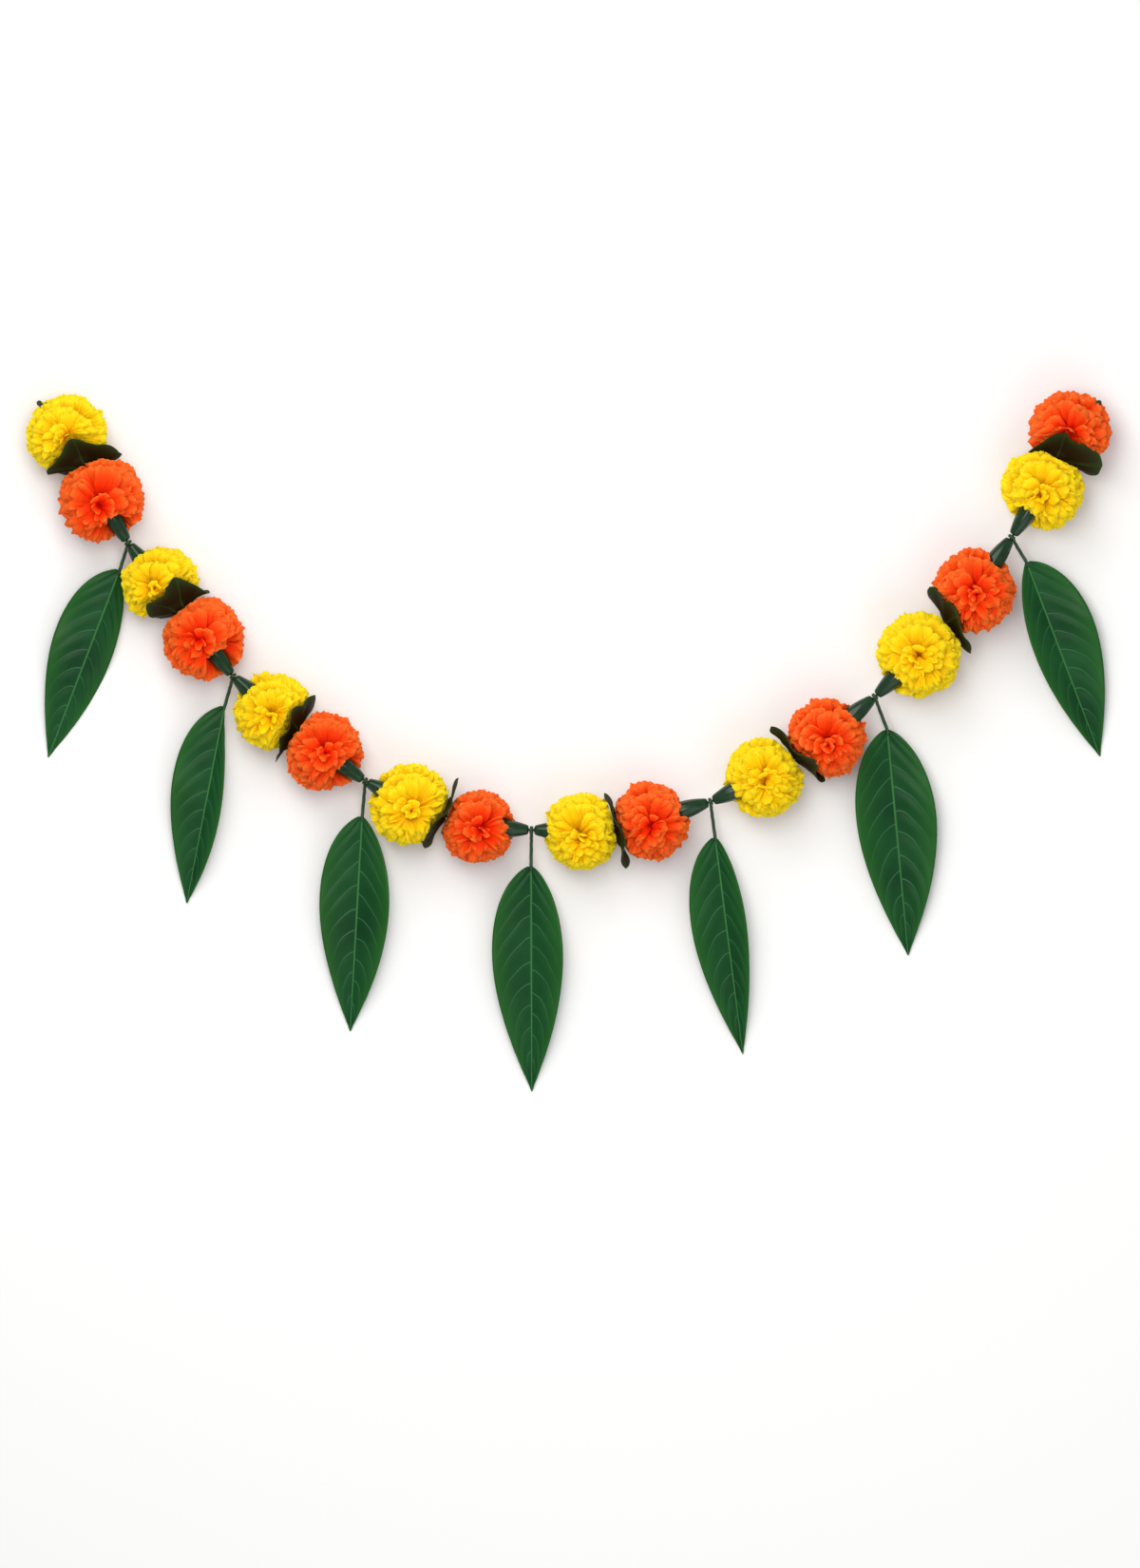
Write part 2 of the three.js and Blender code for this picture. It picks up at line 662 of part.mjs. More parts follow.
const bloomCounts = { yellow: 0, orange: 0 };
let knotCount = 0;
let pairCount = 0;
stations.forEach((station, index) => {
  const next = stations[index + 1];
  const last = stations[index - 1];
  if (station.what === "yellow") {
    pairCount += 1;
    station.frame = skirtFrame({ first: index, number: pairCount });
    next.frame = station.frame;
    addPiece("leaf_skirt_" + pairCount, skirtSolid(station.frame), materials.skirt,
      station.frame.middle);
  }
  if (station.radius) {
    const number = ++bloomCounts[station.what];
    const knot = [last, next].find((neighbour) => neighbour.what === "knot");
    const solid = bloomSolid(station, number, knot);
    addPiece("bloom_" + station.what + "_" + number, solid, materials[station.what],
      station.place);
  }
  if (station.what === "knot") {
    knotCount += 1;
    station.direction = next.place.clone().sub(last.place).normalize();
    addPiece("calyx_left_" + knotCount, calyxSolid(station, last), materials.calyx,
      station.place);
    addPiece("calyx_right_" + knotCount, calyxSolid(station, next), materials.calyx,
      station.place);
    addPiece("leaf_" + knotCount, leafSolid(leafShapes[knotCount - 1], station),
      materials.leaf, station.place);
  }
});
addPiece("cord", cordSolid(), materials.cord, new THREE.Vector3(0, 0, knotHeight));

export default garland;
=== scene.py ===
import math
import random

import bpy
import numpy as np
from mathutils import Matrix, Vector


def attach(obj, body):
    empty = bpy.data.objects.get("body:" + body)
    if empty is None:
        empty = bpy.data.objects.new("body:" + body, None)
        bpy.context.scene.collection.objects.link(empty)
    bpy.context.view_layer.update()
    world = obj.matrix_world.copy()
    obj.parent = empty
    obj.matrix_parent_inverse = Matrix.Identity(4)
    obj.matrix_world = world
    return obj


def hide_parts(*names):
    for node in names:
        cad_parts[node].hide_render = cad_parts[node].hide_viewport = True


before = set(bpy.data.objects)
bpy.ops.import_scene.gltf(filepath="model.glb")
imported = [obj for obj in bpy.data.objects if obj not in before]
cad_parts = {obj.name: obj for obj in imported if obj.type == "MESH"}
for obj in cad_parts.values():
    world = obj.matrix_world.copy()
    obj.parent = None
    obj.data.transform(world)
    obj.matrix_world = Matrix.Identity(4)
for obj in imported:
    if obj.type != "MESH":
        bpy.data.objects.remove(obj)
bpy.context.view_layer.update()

# An artificial marigold garland, lying in a bow. Everything is in metres.
# X runs along the garland, Y from the leaf tips to the two ends, Z up from the surface.
mm = 0.001
up = Vector((0, 0, 1))


# The camera, the light and the floor.

photoView = {
    "across": 0.816,  # what the picture shows from side to side at the height of the cord
    "wide": 1200,
    "high": 1650,
    "middle": (0.0007, -0.030),
    "height": 0.029,
    "distance": 10,
    "sensor": 36,
}
studio = {
    "skyColour": (0.94, 0.97, 1.0, 1),
    "skyStrength": 0.62,
    "lightColour": (1.0, 0.975, 0.94),
    "lights": [  # name, place, size and power
        ("key", (-0.5, 1.15, 1.7), 1.1, 15),
        ("top", (-0.12, 0.3, 1.9), 0.9, 17.5),
        ("fill", (0.7, -1.2, 1.5), 1.4, 6.5),
    ],
    "floorSize": 14,
    "floorColour": (0.80, 0.80, 0.797, 1),
    "floorRoughness": 0.9,
    "floorShine": 0.1,
    "floorDrop": 0.0002,
}


def placeCamera():
    tall = photoView["across"] * photoView["high"] / photoView["wide"]
    x, y = photoView["middle"]
    z = photoView["height"] + photoView["distance"]
    bpy.ops.object.camera_add(location=(x, y, z), rotation=(0, 0, 0))
    camera = bpy.context.object
    camera.data.sensor_width = photoView["sensor"]
    camera.data.lens = photoView["sensor"] * photoView["distance"] / tall
    bpy.context.scene.camera = camera


def placeStudio():
    scene = bpy.context.scene
    scene.view_settings.view_transform = "Standard"
    world = bpy.data.worlds.new("softSky")
    world.use_nodes = True
    sky = world.node_tree.nodes["Background"]
    sky.inputs["Color"].default_value = studio["skyColour"]
    sky.inputs["Strength"].default_value = studio["skyStrength"]
    scene.world = world
    for name, place, size, power in studio["lights"]:
        bpy.ops.object.light_add(type="AREA", location=place)
        light = bpy.context.object
        light.name = name
        light.data.size = size
        light.data.energy = power
        light.data.color = studio["lightColour"]
        light.visible_camera = False
        light.rotation_euler = (-Vector(place)).to_track_quat("-Z", "Y").to_euler()
    bpy.ops.mesh.primitive_plane_add(size=studio["floorSize"], location=(0, 0, -studio["floorDrop"]))
    floor = bpy.context.object
    floor.name = "floor"
    paper = bpy.data.materials.new("plainFloor")
    paper.use_nodes = True
    shader = paper.node_tree.nodes["Principled BSDF"]
    shader.inputs["Base Color"].default_value = studio["floorColour"]
    shader.inputs["Roughness"].default_value = studio["floorRoughness"]
    shader.inputs["Specular IOR Level"].default_value = studio["floorShine"]
    floor.data.materials.append(paper)


placeCamera()
placeStudio()
print("camera and studio placed")


# The cord's route: what sits there, x, y and a bloom's radius, in millimetres.

route = [
    ("end", -379.2, 242.5, 0),
    ("yellow", -359, 219.6, 29.6),
    ("orange", -334.6, 174.4, 31.2),
    ("knot", -315.7, 142.5, 0),
    ("yellow", -292.4, 112.9, 28.6),
    ("orange", -261.5, 74.1, 29.9),
    ("knot", -240.6, 47.1, 0),
    ("yellow", -212.2, 22.4, 28.2),
    ("orange", -175.4, -6.8, 28.6),
    ("knot", -146, -27.9, 0),
    ("yellow", -114.2, -44.2, 29.9),
    ("orange", -65.3, -60.5, 27),
    ("knot", -26.9, -63, 0),
    ("yellow", 8.8, -63.6, 28),
    ("orange", 58.1, -56.1, 28.6),
    ("knot", 101.3, -42.7, 0),
    ("yellow", 138.7, -25.5, 29.2),
    ("orange", 183.9, 3.1, 28.9),
    ("knot", 219, 32.4, 0),
    ("yellow", 250.9, 62.6, 31.2),
    ("orange", 289.7, 108.5, 30.3),
    ("knot", 317, 146.7, 0),
    ("yellow", 339.3, 181.6, 30.3),
    ("orange", 358.4, 221.7, 29.9),
    ("end", 379.3, 242.8, 0),
]
threading = {
    "restShare": 0.955,  # how high a bloom's middle is, as a share of its radius
    "knotHeight": 27 * mm,
    "endHeight": 29 * mm,
    "boreRadius": 1.6 * mm,
    "calyxStart": 1.9 * mm,  # from the middle of a knot
}


def readStations():
    stations = []
    counts = {"yellow": 0, "orange": 0, "knot": 0, "end": 0}
    for what, x, y, radius in route:
        counts[what] += 1
        height = radius * mm * threading["restShare"]
        if what == "knot":
            height = threading["knotHeight"]
        if what == "end":
            height = threading["endHeight"]
        place = Vector((x * mm, y * mm, height))
        stations.append({"what": what, "number": counts[what], "place": place, "radius": radius * mm})
    for here, station in enumerate(stations):
        station["last"] = stations[here - 1] if here else None
        station["next"] = stations[here + 1] if here + 1 < len(stations) else None
    return stations


stations = readStations()
blooms = [s for s in stations if s["radius"]]
knots = [s for s in stations if s["what"] == "knot"]


# Working with objects.

def deselectAll():
    bpy.ops.object.select_all(action="DESELECT")


def makeActive(piece):
    deselectAll()
    piece.select_set(True)
    bpy.context.view_layer.objects.active = piece


def applyModifier(piece, kind, **settings):
    makeActive(piece)
    modifier = piece.modifiers.new(kind.lower(), kind)
    for name, value in settings.items():
        setattr(modifier, name, value)
    bpy.ops.object.modifier_apply(modifier=modifier.name)


def selectVertices(piece, test):
    # Selects the vertices whose place passes the test, in edit mode.
    bpy.ops.object.mode_set(mode="OBJECT")
    for group in (piece.data.vertices, piece.data.edges, piece.data.polygons):
        group.foreach_set("select", [False] * len(group))
    for vertex in piece.data.vertices:
        vertex.select = test(vertex.co)
    bpy.ops.object.mode_set(mode="EDIT")
    bpy.ops.mesh.select_mode(type="VERT")


def turnOutwards(piece):
    makeActive(piece)
    bpy.ops.object.mode_set(mode="EDIT")
    bpy.ops.mesh.select_all(action="SELECT")
    bpy.ops.mesh.normals_make_consistent(inside=False)
    bpy.ops.object.mode_set(mode="OBJECT")


def gridFaces(rows, columns, closed=False):
    # The faces between rows of points. In a closed grid the last column meets the first.
    return [(row * columns + column, row * columns + (column + 1) % columns,
             (row + 1) * columns + (column + 1) % columns, (row + 1) * columns + column)
            for row in range(rows) for column in range(columns if closed else columns - 1)]


def newMesh(name, points, faces, uvs=None, ribs=None):
    # UVs and ribs have a value for each point.
    mesh = bpy.data.meshes.new(name)
    mesh.from_pydata([tuple(p) for p in points], [], faces)
    if uvs is not None:
        layer = mesh.uv_layers.new(name="UVMap")
        corners = np.zeros(len(mesh.loops), np.int32)
        mesh.loops.foreach_get("vertex_index", corners)
        layer.data.foreach_set("uv", np.asarray(uvs, np.float32)[corners].ravel())
    mesh.validate()
    if ribs is not None:
        mesh.attributes.new("rib", "FLOAT", "POINT").data.foreach_set("value", ribs)
    piece = bpy.data.objects.new(name, mesh)
    bpy.context.scene.collection.objects.link(piece)
    return piece


def finishPiece(piece, name, material, slot, *nodes, angle=None):
    piece.name = name
    piece.data.name = name
    piece.data.materials.clear()
    piece.data.materials.append(material)
    makeActive(piece)
    if angle is None:
        bpy.ops.object.shade_smooth()
    else:
        bpy.ops.object.shade_smooth_by_angle(angle=math.radians(angle))
    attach(piece, "root")
    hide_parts(*nodes)
    return piece


def frameAlong(direction, place):
    # A matrix that turns Z to the direction and keeps Y as near to straight up as it can.
    z = direction.normalized()
    x = z.cross(up).normalized()
    y = z.cross(x) * -1
    return Matrix.Translation(place) @ Matrix((x, y, z)).transposed().to_4x4()


# Effects that several materials share.

def feed(tree, value, socket):
    # Sets a socket, or links it where the value is another node's output.
    if isinstance(value, (int, float, tuple)):
        socket.default_value = value
    elif value is not None:
        tree.links.new(value, socket)


def nodeMath(tree, operation, first, second=None):
    node = tree.nodes.new("ShaderNodeMath")
    node.operation = operation
    feed(tree, first, node.inputs[0])
    feed(tree, second, node.inputs[1])
    return node.outputs[0]


def plus(tree, first, second):
    return nodeMath(tree, "ADD", first, second)


def minus(tree, first, second):
    return nodeMath(tree, "SUBTRACT", first, second)


def times(tree, first, second):
    return nodeMath(tree, "MULTIPLY", first, second)


def power(tree, first, second):
    return nodeMath(tree, "POWER", first, second)


def colourMix(tree, factor, first, second):
    node = tree.nodes.new("ShaderNodeMix")
    node.data_type = "RGBA"
    feed(tree, factor, node.inputs[0])
    feed(tree, first, node.inputs[6])
    feed(tree, second, node.inputs[7])
    return node.outputs[2]


def noise(tree, vector, scale, detail=2):
    node = tree.nodes.new("ShaderNodeTexNoise")
    feed(tree, vector, node.inputs["Vector"])
    feed(tree, scale, node.inputs["Scale"])
    node.inputs["Detail"].default_value = detail
    return node.outputs["Fac"]


def separate(tree, vector):
    node = tree.nodes.new("ShaderNodeSeparateXYZ")
    feed(tree, vector, node.inputs[0])
    return node.outputs


def startGroup(name, inputs, outputs):
    group = bpy.data.node_groups.new(name, "ShaderNodeTree")
    for label, value in inputs.items():
        kind = "NodeSocketVector" if value is None else "NodeSocketFloat"
        socket = group.interface.new_socket(name=label, in_out="INPUT", socket_type=kind)
        if value is not None:
            socket.default_value = value
    for label in outputs:
        group.interface.new_socket(name=label, in_out="OUTPUT", socket_type="NodeSocketFloat")
    return group, group.nodes.new("NodeGroupInput").outputs, group.nodes.new("NodeGroupOutput").inputs


def blotchGroup():
    # Slow cloudy changes over a surface, between 0 and 1.
    group, given, out = startGroup("blotch", {"Vector": None, "Scale": 60.0, "Contrast": 1.0}, ["Amount"])
    cloud = noise(group, given["Vector"], given["Scale"], 3)
    spread = times(group, minus(group, cloud, 0.5), given["Contrast"])
    clamp = group.nodes.new("ShaderNodeClamp")
    feed(group, plus(group, spread, 0.5), clamp.inputs[0])
    feed(group, clamp.outputs[0], out["Amount"])
    return group


def crinkleGroup():
    # Fine pleats that run from a petal's foot to its rim, crossed by a little grain.
    group, given, out = startGroup(
        "crinkle", {"UV": None, "Place": None, "Pleats": 9.0, "Grain": 900.0}, ["Height", "Fold"])
    sway = times(group, noise(group, given["Place"], 150.0), 1.6)
    across = times(group, separate(group, given["UV"])[0], given["Pleats"])
    wave = nodeMath(group, "SINE", times(group, plus(group, across, sway), math.tau))
    fold = plus(group, times(group, wave, 0.5), 0.5)
    fine = times(group, noise(group, given["Place"], given["Grain"]), 0.35)
    feed(group, plus(group, fold, fine), out["Height"])
    feed(group, fold, out["Fold"])
    return group


# How many side veins a long leaf has on each side, how far they sweep to its tip and how
# suddenly, and how far the left ones are ahead. The blade's relief follows the same lines.
veinPattern = {"veins": 10, "sweep": 2.2, "sweepPower": 1.8, "ahead": 0.37, "wander": 0.8}


def veinGroup():
    # A leaf's side veins, from its UV map: X is 0 to 1 across it, and Y 0 to 1 along it.
    group, given, out = startGroup(
        "leafVeins", {"UV": None, "Place": None, "Veins": 10.0, "Sweep": 1.6, "Width": 0.06},
        ["Vein", "Side"])
    uv = separate(group, given["UV"])
    signed = times(group, minus(group, uv[0], 0.5), 2.0)
    side = nodeMath(group, "ABSOLUTE", signed)
    swept = times(group, power(group, side, veinPattern["sweepPower"]), given["Sweep"])
    ahead = times(group, nodeMath(group, "LESS_THAN", signed, 0.0), veinPattern["ahead"])
    bent = times(group, noise(group, given["Place"], 28.0), veinPattern["wander"])
    along = plus(group, times(group, uv[1], given["Veins"]), ahead)
    phase = plus(group, minus(group, along, swept), bent)
    near = nodeMath(group, "ABSOLUTE", minus(group, nodeMath(group, "FRACT", phase), 0.5))
    line = minus(group, near, minus(group, 0.5, given["Width"]))
    shown = nodeMath(group, "MAXIMUM", nodeMath(group, "DIVIDE", line, given["Width"]), 0.0)
    fade = minus(group, 1.0, power(group, side, 3.0))
    feed(group, times(group, shown, fade), out["Vein"])
    feed(group, side, out["Side"])
    return group


effects = {"blotch": blotchGroup(), "crinkle": crinkleGroup(), "veins": veinGroup()}


def placeGroup(tree, name, **values):
    node = tree.nodes.new("ShaderNodeGroup")
    node.node_tree = effects[name]
    for label, value in values.items():
        feed(tree, value, node.inputs[label])
    return node.outputs


def startMaterial(name, finish, **sockets):
    material = bpy.data.materials.new(name)
    material.use_nodes = True
    tree = material.node_tree
    shader = tree.nodes["Principled BSDF"].inputs
    for label, value in sockets.items():
        shader[label.replace("_", " ")].default_value = value
    shader["Roughness"].default_value = finish["roughness"]
    shader["Specular IOR Level"].default_value = finish["shine"]
    place = tree.nodes.new("ShaderNodeTexCoord").outputs
    return material, tree, shader, place["UV"], place["Object"]


def ribShare(tree):
    node = tree.nodes.new("ShaderNodeAttribute")
    node.attribute_name = "rib"
    return node.outputs["Fac"]


def clouds(tree, shader, here, finish):
    # Slow changes of colour and roughness: the clouds are as fine as their scale and contrast say.
    scale, contrast = finish["clouds"]
    blotch = placeGroup(tree, "blotch", Vector=here, Scale=scale, Contrast=contrast)["Amount"]
    if "cloudyRoughness" in finish:
        rough = times(tree, blotch, finish["cloudyRoughness"])
        feed(tree, plus(tree, rough, finish["roughness"]), shader["Roughness"])
    return blotch, colourMix(tree, blotch, finish["dark"], finish["light"])


def bump(tree, shader, height, strength, distance):
    node = tree.nodes.new("ShaderNodeBump")
    node.inputs["Strength"].default_value = strength
    node.inputs["Distance"].default_value = distance
    feed(tree, height, node.inputs["Height"])
    feed(tree, node.outputs["Normal"], shader["Normal"])


# In each colour, dark is the painted shade at a petal's foot and in its pleats, and also the colour of
# its random blotches. Rim is its paler edge, partly the sheet's own tone and partly a painted highlight.
petalFinish = {
    "yellow": {"dark": (0.95, 0.38, 0.0, 1), "light": (1.0, 0.63, 0.0, 1),
               "rim": (1.0, 0.76, 0.02, 1),
               "glowColour": (1.0, 0.6, 0.2)},
    "orange": {"dark": (0.82, 0.006, 0.0, 1), "light": (1.0, 0.068, 0.0, 1),
               "rim": (1.0, 0.205, 0.033, 1),
               "glowColour": (1.0, 0.08, 0.02)},
    "clouds": (110.0, 1.3),
    "roughness": 0.52,
    "cloudyRoughness": 0.16,
    "shine": 0.06,
    "glow": 0.4,  # how much light passes through the thin sheet
    "glowReach": 3.5 * mm,
    "pleats": 17.0,
    "pleatDepth": 0.28 * mm,
}


def petalMaterial(colour):
    # Painted shade darkens its foot, deep in the bloom, and the valleys of its pleats. It is paler along
    # its rim, partly its own tone and partly a painted highlight.
    finish = {**petalFinish, **petalFinish[colour]}
    material, tree, shader, uv, here = startMaterial(
        colour + "PetalSheet", finish, Subsurface_Weight=finish["glow"],
        Subsurface_Scale=finish["glowReach"], Subsurface_Radius=finish["glowColour"])
    crinkle = placeGroup(tree, "crinkle", UV=uv, Place=here, Pleats=finish["pleats"])
    blotch, _ = clouds(tree, shader, here, finish)
    towardsRim = separate(tree, uv)[1]
    # Painted shade: the colour runs from the dark foot, deep in the bloom, to the sheet's own colour.
    base = colourMix(tree, power(tree, towardsRim, 1.4), finish["dark"], finish["light"])
    # The paler rim: partly the sheet's own tone, partly a painted highlight along its edges.
    base = colourMix(tree, times(tree, power(tree, towardsRim, 6.0), 0.85), base, finish["rim"])
    # Painted shade in the valleys of the pleats.
    base = colourMix(tree, times(tree, minus(tree, 1.0, crinkle["Fold"]), 0.06), base, finish["dark"])
    base = colourMix(tree, times(tree, blotch, 0.18), base, finish["dark"])
    feed(tree, base, shader["Base Color"])
    bump(tree, shader, crinkle["Height"], 0.6, finish["pleatDepth"])
    return material


plasticFinish = {
    "dark": (0.002, 0.016, 0.003, 1),
    "light": (0.007, 0.042, 0.011, 1),
    "clouds": (220.0, 1.6),
    "roughness": 0.16,
    "cloudyRoughness": 0.12,
    "shine": 0.08,
    "coat": 0.45,
}


def plasticMaterial():
    material, tree, shader, _, here = startMaterial(
        "mouldedPlastic", plasticFinish, Coat_Weight=plasticFinish["coat"],
        Coat_Roughness=plasticFinish["roughness"])
    blotch, base = clouds(tree, shader, here, plasticFinish)
    feed(tree, base, shader["Base Color"])
    fine = times(tree, noise(tree, here, 1300.0), 0.1)
    bump(tree, shader, plus(tree, blotch, fine), 0.35, 0.15 * mm)
    return material


leafFinish = {
    "dark": (0.003, 0.034, 0.010, 1),
    "light": (0.007, 0.066, 0.016, 1),
    "edge": (0.018, 0.105, 0.013, 1),
    "vein": (0.030, 0.135, 0.050, 1),
    "midrib": (0.038, 0.155, 0.040, 1),
    "veinWidth": 0.042,
    "clouds": (26.0, 2.2),
    "roughness": 0.3,
    "cloudyRoughness": 0.14,
    "shine": 0.1,
}


def leafMaterial():
    material, tree, shader, uv, here = startMaterial("coatedLeafCloth", leafFinish)
    veins = placeGroup(tree, "veins", UV=uv, Place=here, Veins=veinPattern["veins"],
                       Sweep=veinPattern["sweep"], Width=leafFinish["veinWidth"])
    _, base = clouds(tree, shader, here, leafFinish)
    base = colourMix(tree, times(tree, power(tree, veins["Side"], 2.5), 0.75), base, leafFinish["edge"])
    base = colourMix(tree, times(tree, veins["Vein"], 0.85), base, leafFinish["vein"])
    feed(tree, colourMix(tree, ribShare(tree), base, leafFinish["midrib"]), shader["Base Color"])
    fine = times(tree, noise(tree, here, 1500.0), 0.25)
    bump(tree, shader, plus(tree, veins["Vein"], fine), 0.5, 0.22 * mm)
    return material


skirtFinish = {
    "dark": (0.018, 0.007, 0.0006, 1),
    "light": (0.013, 0.010, 0.001, 1),
    "edge": (0.022, 0.055, 0.010, 1),
    "clouds": (70.0, 2.0),
    "roughness": 0.5,
    "cloudyRoughness": 0.15,
    "shine": 0.1,
}


def skirtMaterial():
    material, tree, shader, uv, here = startMaterial("darkLeafCloth", skirtFinish)
    _, base = clouds(tree, shader, here, skirtFinish)
    towardsRim = separate(tree, uv)[1]
    base = colourMix(tree, times(tree, power(tree, towardsRim, 7.0), 0.8), base, skirtFinish["edge"])
    base = colourMix(tree, times(tree, ribShare(tree), 0.8), base, skirtFinish["edge"])
    feed(tree, base, shader["Base Color"])
    bump(tree, shader, noise(tree, here, 1200.0), 0.4, 0.15 * mm)
    return material


stemFinish = {
    "dark": (0.005, 0.030, 0.011, 1),
    "light": (0.013, 0.064, 0.020, 1),
    "clouds": (160.0, 1.8),
    "roughness": 0.28,
    "cloudyRoughness": 0.15,
    "shine": 0.4,
    "sheen": 0,
    "relief": 0.3 * mm,
}
threadFinish = {
    "dark": (0.006, 0.014, 0.006, 1),
    "light": (0.022, 0.045, 0.020, 1),
    "clouds": (400.0, 1.5),
    "roughness": 0.75,
    "shine": 0.5,
    "sheen": 0.2,
    "relief": 0.1 * mm,
}


def woundMaterial(name, finish):
    material, tree, shader, _, here = startMaterial(name, finish, Sheen_Weight=finish["sheen"])
    blotch, base = clouds(tree, shader, here, finish)
    feed(tree, base, shader["Base Color"])
    bump(tree, shader, blotch, 0.5, finish["relief"])
    return material


petalSheets = {"yellow": petalMaterial("yellow"), "orange": petalMaterial("orange")}
plastic = plasticMaterial()
leafCloth = leafMaterial()
skirtCloth = skirtMaterial()
stemTape = woundMaterial("stemTape", stemFinish)
thread = woundMaterial("greenThread", threadFinish)
print("materials made")


# The cord: three strands laid round its route, with a knot at each end.

cordValues = {
    "radius": 1.0 * mm,
    "strandRadius": 0.55 * mm,
    "strands": 3,
    "pitch": 9 * mm,
    "stepsPerTurn": 7,
    "knotRadius": 2.0 * mm,
    "knotCore": 0.82,  # of its radius, and so are the turns of thread round it
    "knotTurn": (0.68, 0.34),
    "knotTilts": (0.5, -0.6, 1.9),
    "whipping": 7 * mm,  # thread whipped round the cord between the knot and the bloom
    "whippingTurn": (1.2, 0.65),  # of the cord's radius
    "whippingTurns": 6,
}


def routePoints(step):
    # Points a step apart along the straight stretches between the stations.
    points = []
    for here, ahead in zip(stations, stations[1:]):
        count = max(1, round((ahead["place"] - here["place"]).length / step))
        points += [here["place"].lerp(ahead["place"], i / count) for i in range(count)]
    return [*points, stations[-1]["place"].copy()]


def axesAlong(points, i):
    # Across and up, square to the way that a line takes at one of its points.
    ahead = points[min(i + 1, len(points) - 1)] - points[max(i - 1, 0)]
    across = ahead.cross(up).normalized()
    return across, across.cross(ahead).normalized()


def strandCurve(points, strand):
    curve = bpy.data.curves.new("strand", "CURVE")
    curve.dimensions = "3D"
    curve.bevel_depth = cordValues["strandRadius"]
    curve.bevel_resolution = 1
    curve.use_fill_caps = True
    spline = curve.splines.new("POLY")
    spline.points.add(len(points) - 1)
    off = cordValues["radius"] - cordValues["strandRadius"]
    for i, point in enumerate(points):
        across, rise = axesAlong(points, i)
        turn = math.tau * (i / cordValues["stepsPerTurn"] + strand / cordValues["strands"])
        spline.points[i].co = (*(point + across * math.cos(turn) * off + rise * math.sin(turn) * off), 1)
    piece = bpy.data.objects.new("strand", curve)
    bpy.context.scene.collection.objects.link(piece)
    makeActive(piece)
    bpy.ops.object.convert(target="MESH")
    return bpy.context.object


def joinAt(parts, matrix):
    deselectAll()
    for part in parts:
        part.select_set(True)
    bpy.context.view_layer.objects.active = parts[0]
    bpy.ops.object.transform_apply(location=True, rotation=True, scale=True)
    bpy.ops.object.join()
    joined = bpy.context.object
    joined.data.transform(matrix)
    return joined


def threadTurn(radius, shares, segments, **where):
    bpy.ops.mesh.primitive_torus_add(major_radius=radius * shares[0], minor_radius=radius * shares[1],
                                     major_segments=segments[0], minor_segments=segments[1], **where)
    return bpy.context.object


def endKnot(place, towards):
    # A pulled knot: a ball with turns of thread standing out of it, and the whipping behind it.
    values = cordValues
    radius = values["knotRadius"]
    bpy.ops.mesh.primitive_uv_sphere_add(segments=14, ring_count=8, radius=radius * values["knotCore"])
    parts = [bpy.context.object]
    for tilt in values["knotTilts"]:
        parts.append(threadTurn(radius, values["knotTurn"], (20, 8), rotation=(tilt, tilt * 0.7, 0)))
    for turn in range(values["whippingTurns"]):
        where = (0, 0, values["whipping"] * (turn + 1) / values["whippingTurns"])
        parts.append(threadTurn(values["radius"], values["whippingTurn"], (14, 6), location=where))
    return joinAt(parts, frameAlong(towards - place, place))


def makeCord():
    points = routePoints(cordValues["pitch"] / cordValues["stepsPerTurn"])
    parts = [strandCurve(points, strand) for strand in range(cordValues["strands"])]
    for end, neighbour in ((stations[0], stations[1]), (stations[-1], stations[-2])):
        parts.append(endKnot(end["place"], neighbour["place"]))
    finishPiece(joinAt(parts, Matrix.Identity(4)), "twistedCord", thread, "cord", "cord")


makeCord()
print("cord made")


# The calyxes: one moulded cone, copied to both sides of each knot.

calyxValues = {
    "length": 20.8 * mm,
    "mouth": 0.45,  # of the narrow radius
    "narrow": 3.9 * mm,
    "belly": 6.4 * mm,
    "wide": 7.2 * mm,
    # Each ring: its share of the length, which of the radii it has, and how much of it.
    "rings": [(0, "narrow", 0.8), (0.06, "narrow", 1), (0.28, "narrow", 1.32), (0.55, "belly", 1),
              (0.85, "wide", 0.97), (1, "wide", 1)],
    "hollow": [(-0.4 * mm, 0.86), (-2.2 * mm, 0.7)],  # how the wide end is drawn in behind the teeth
    "sides": 8,
    "tooth": 3.2 * mm,
    "edge": 1.4 * mm,
}


def extrudeRing(rise, growth):
    bpy.ops.mesh.extrude_region_move(TRANSFORM_OT_translate={"value": (0, 0, rise)})
    bpy.ops.transform.resize(value=(growth, growth, 1))


def modelCalyx():
    values = calyxValues
    length, wide = values["length"], values["wide"]
    height, radius = 0.0, values["narrow"] * values["mouth"]
    bpy.ops.mesh.primitive_circle_add(vertices=values["sides"], radius=radius, fill_type="NGON")
    cone = bpy.context.object
    bpy.ops.object.mode_set(mode="EDIT")
    bpy.ops.mesh.select_all(action="SELECT")
    for share, which, much in values["rings"]:
        extrudeRing(share * length - height, values[which] * much / radius)
        height, radius = share * length, values[which] * much
    for depth, share in values["hollow"]:
        extrudeRing(depth, wide * share / radius)
        radius = wide * share
    # Every second corner of the rim is drawn out to a tooth.
    step = math.tau / values["sides"]

    def isTooth(place):
        turn = round(math.atan2(place.y, place.x) / step)
        return place.z > length - 0.1 * mm and turn % 2 == 0 and place.xy.length > wide * 0.9
    selectVertices(cone, isTooth)
    bpy.ops.transform.translate(value=(0, 0, values["tooth"]))
    bpy.ops.object.mode_set(mode="OBJECT")
    turnOutwards(cone)
    applyModifier(cone, "BEVEL", width=values["edge"], segments=3, limit_method="ANGLE",
                  angle_limit=math.radians(30))
    applyModifier(cone, "SUBSURF", levels=1, render_levels=1)
    return cone


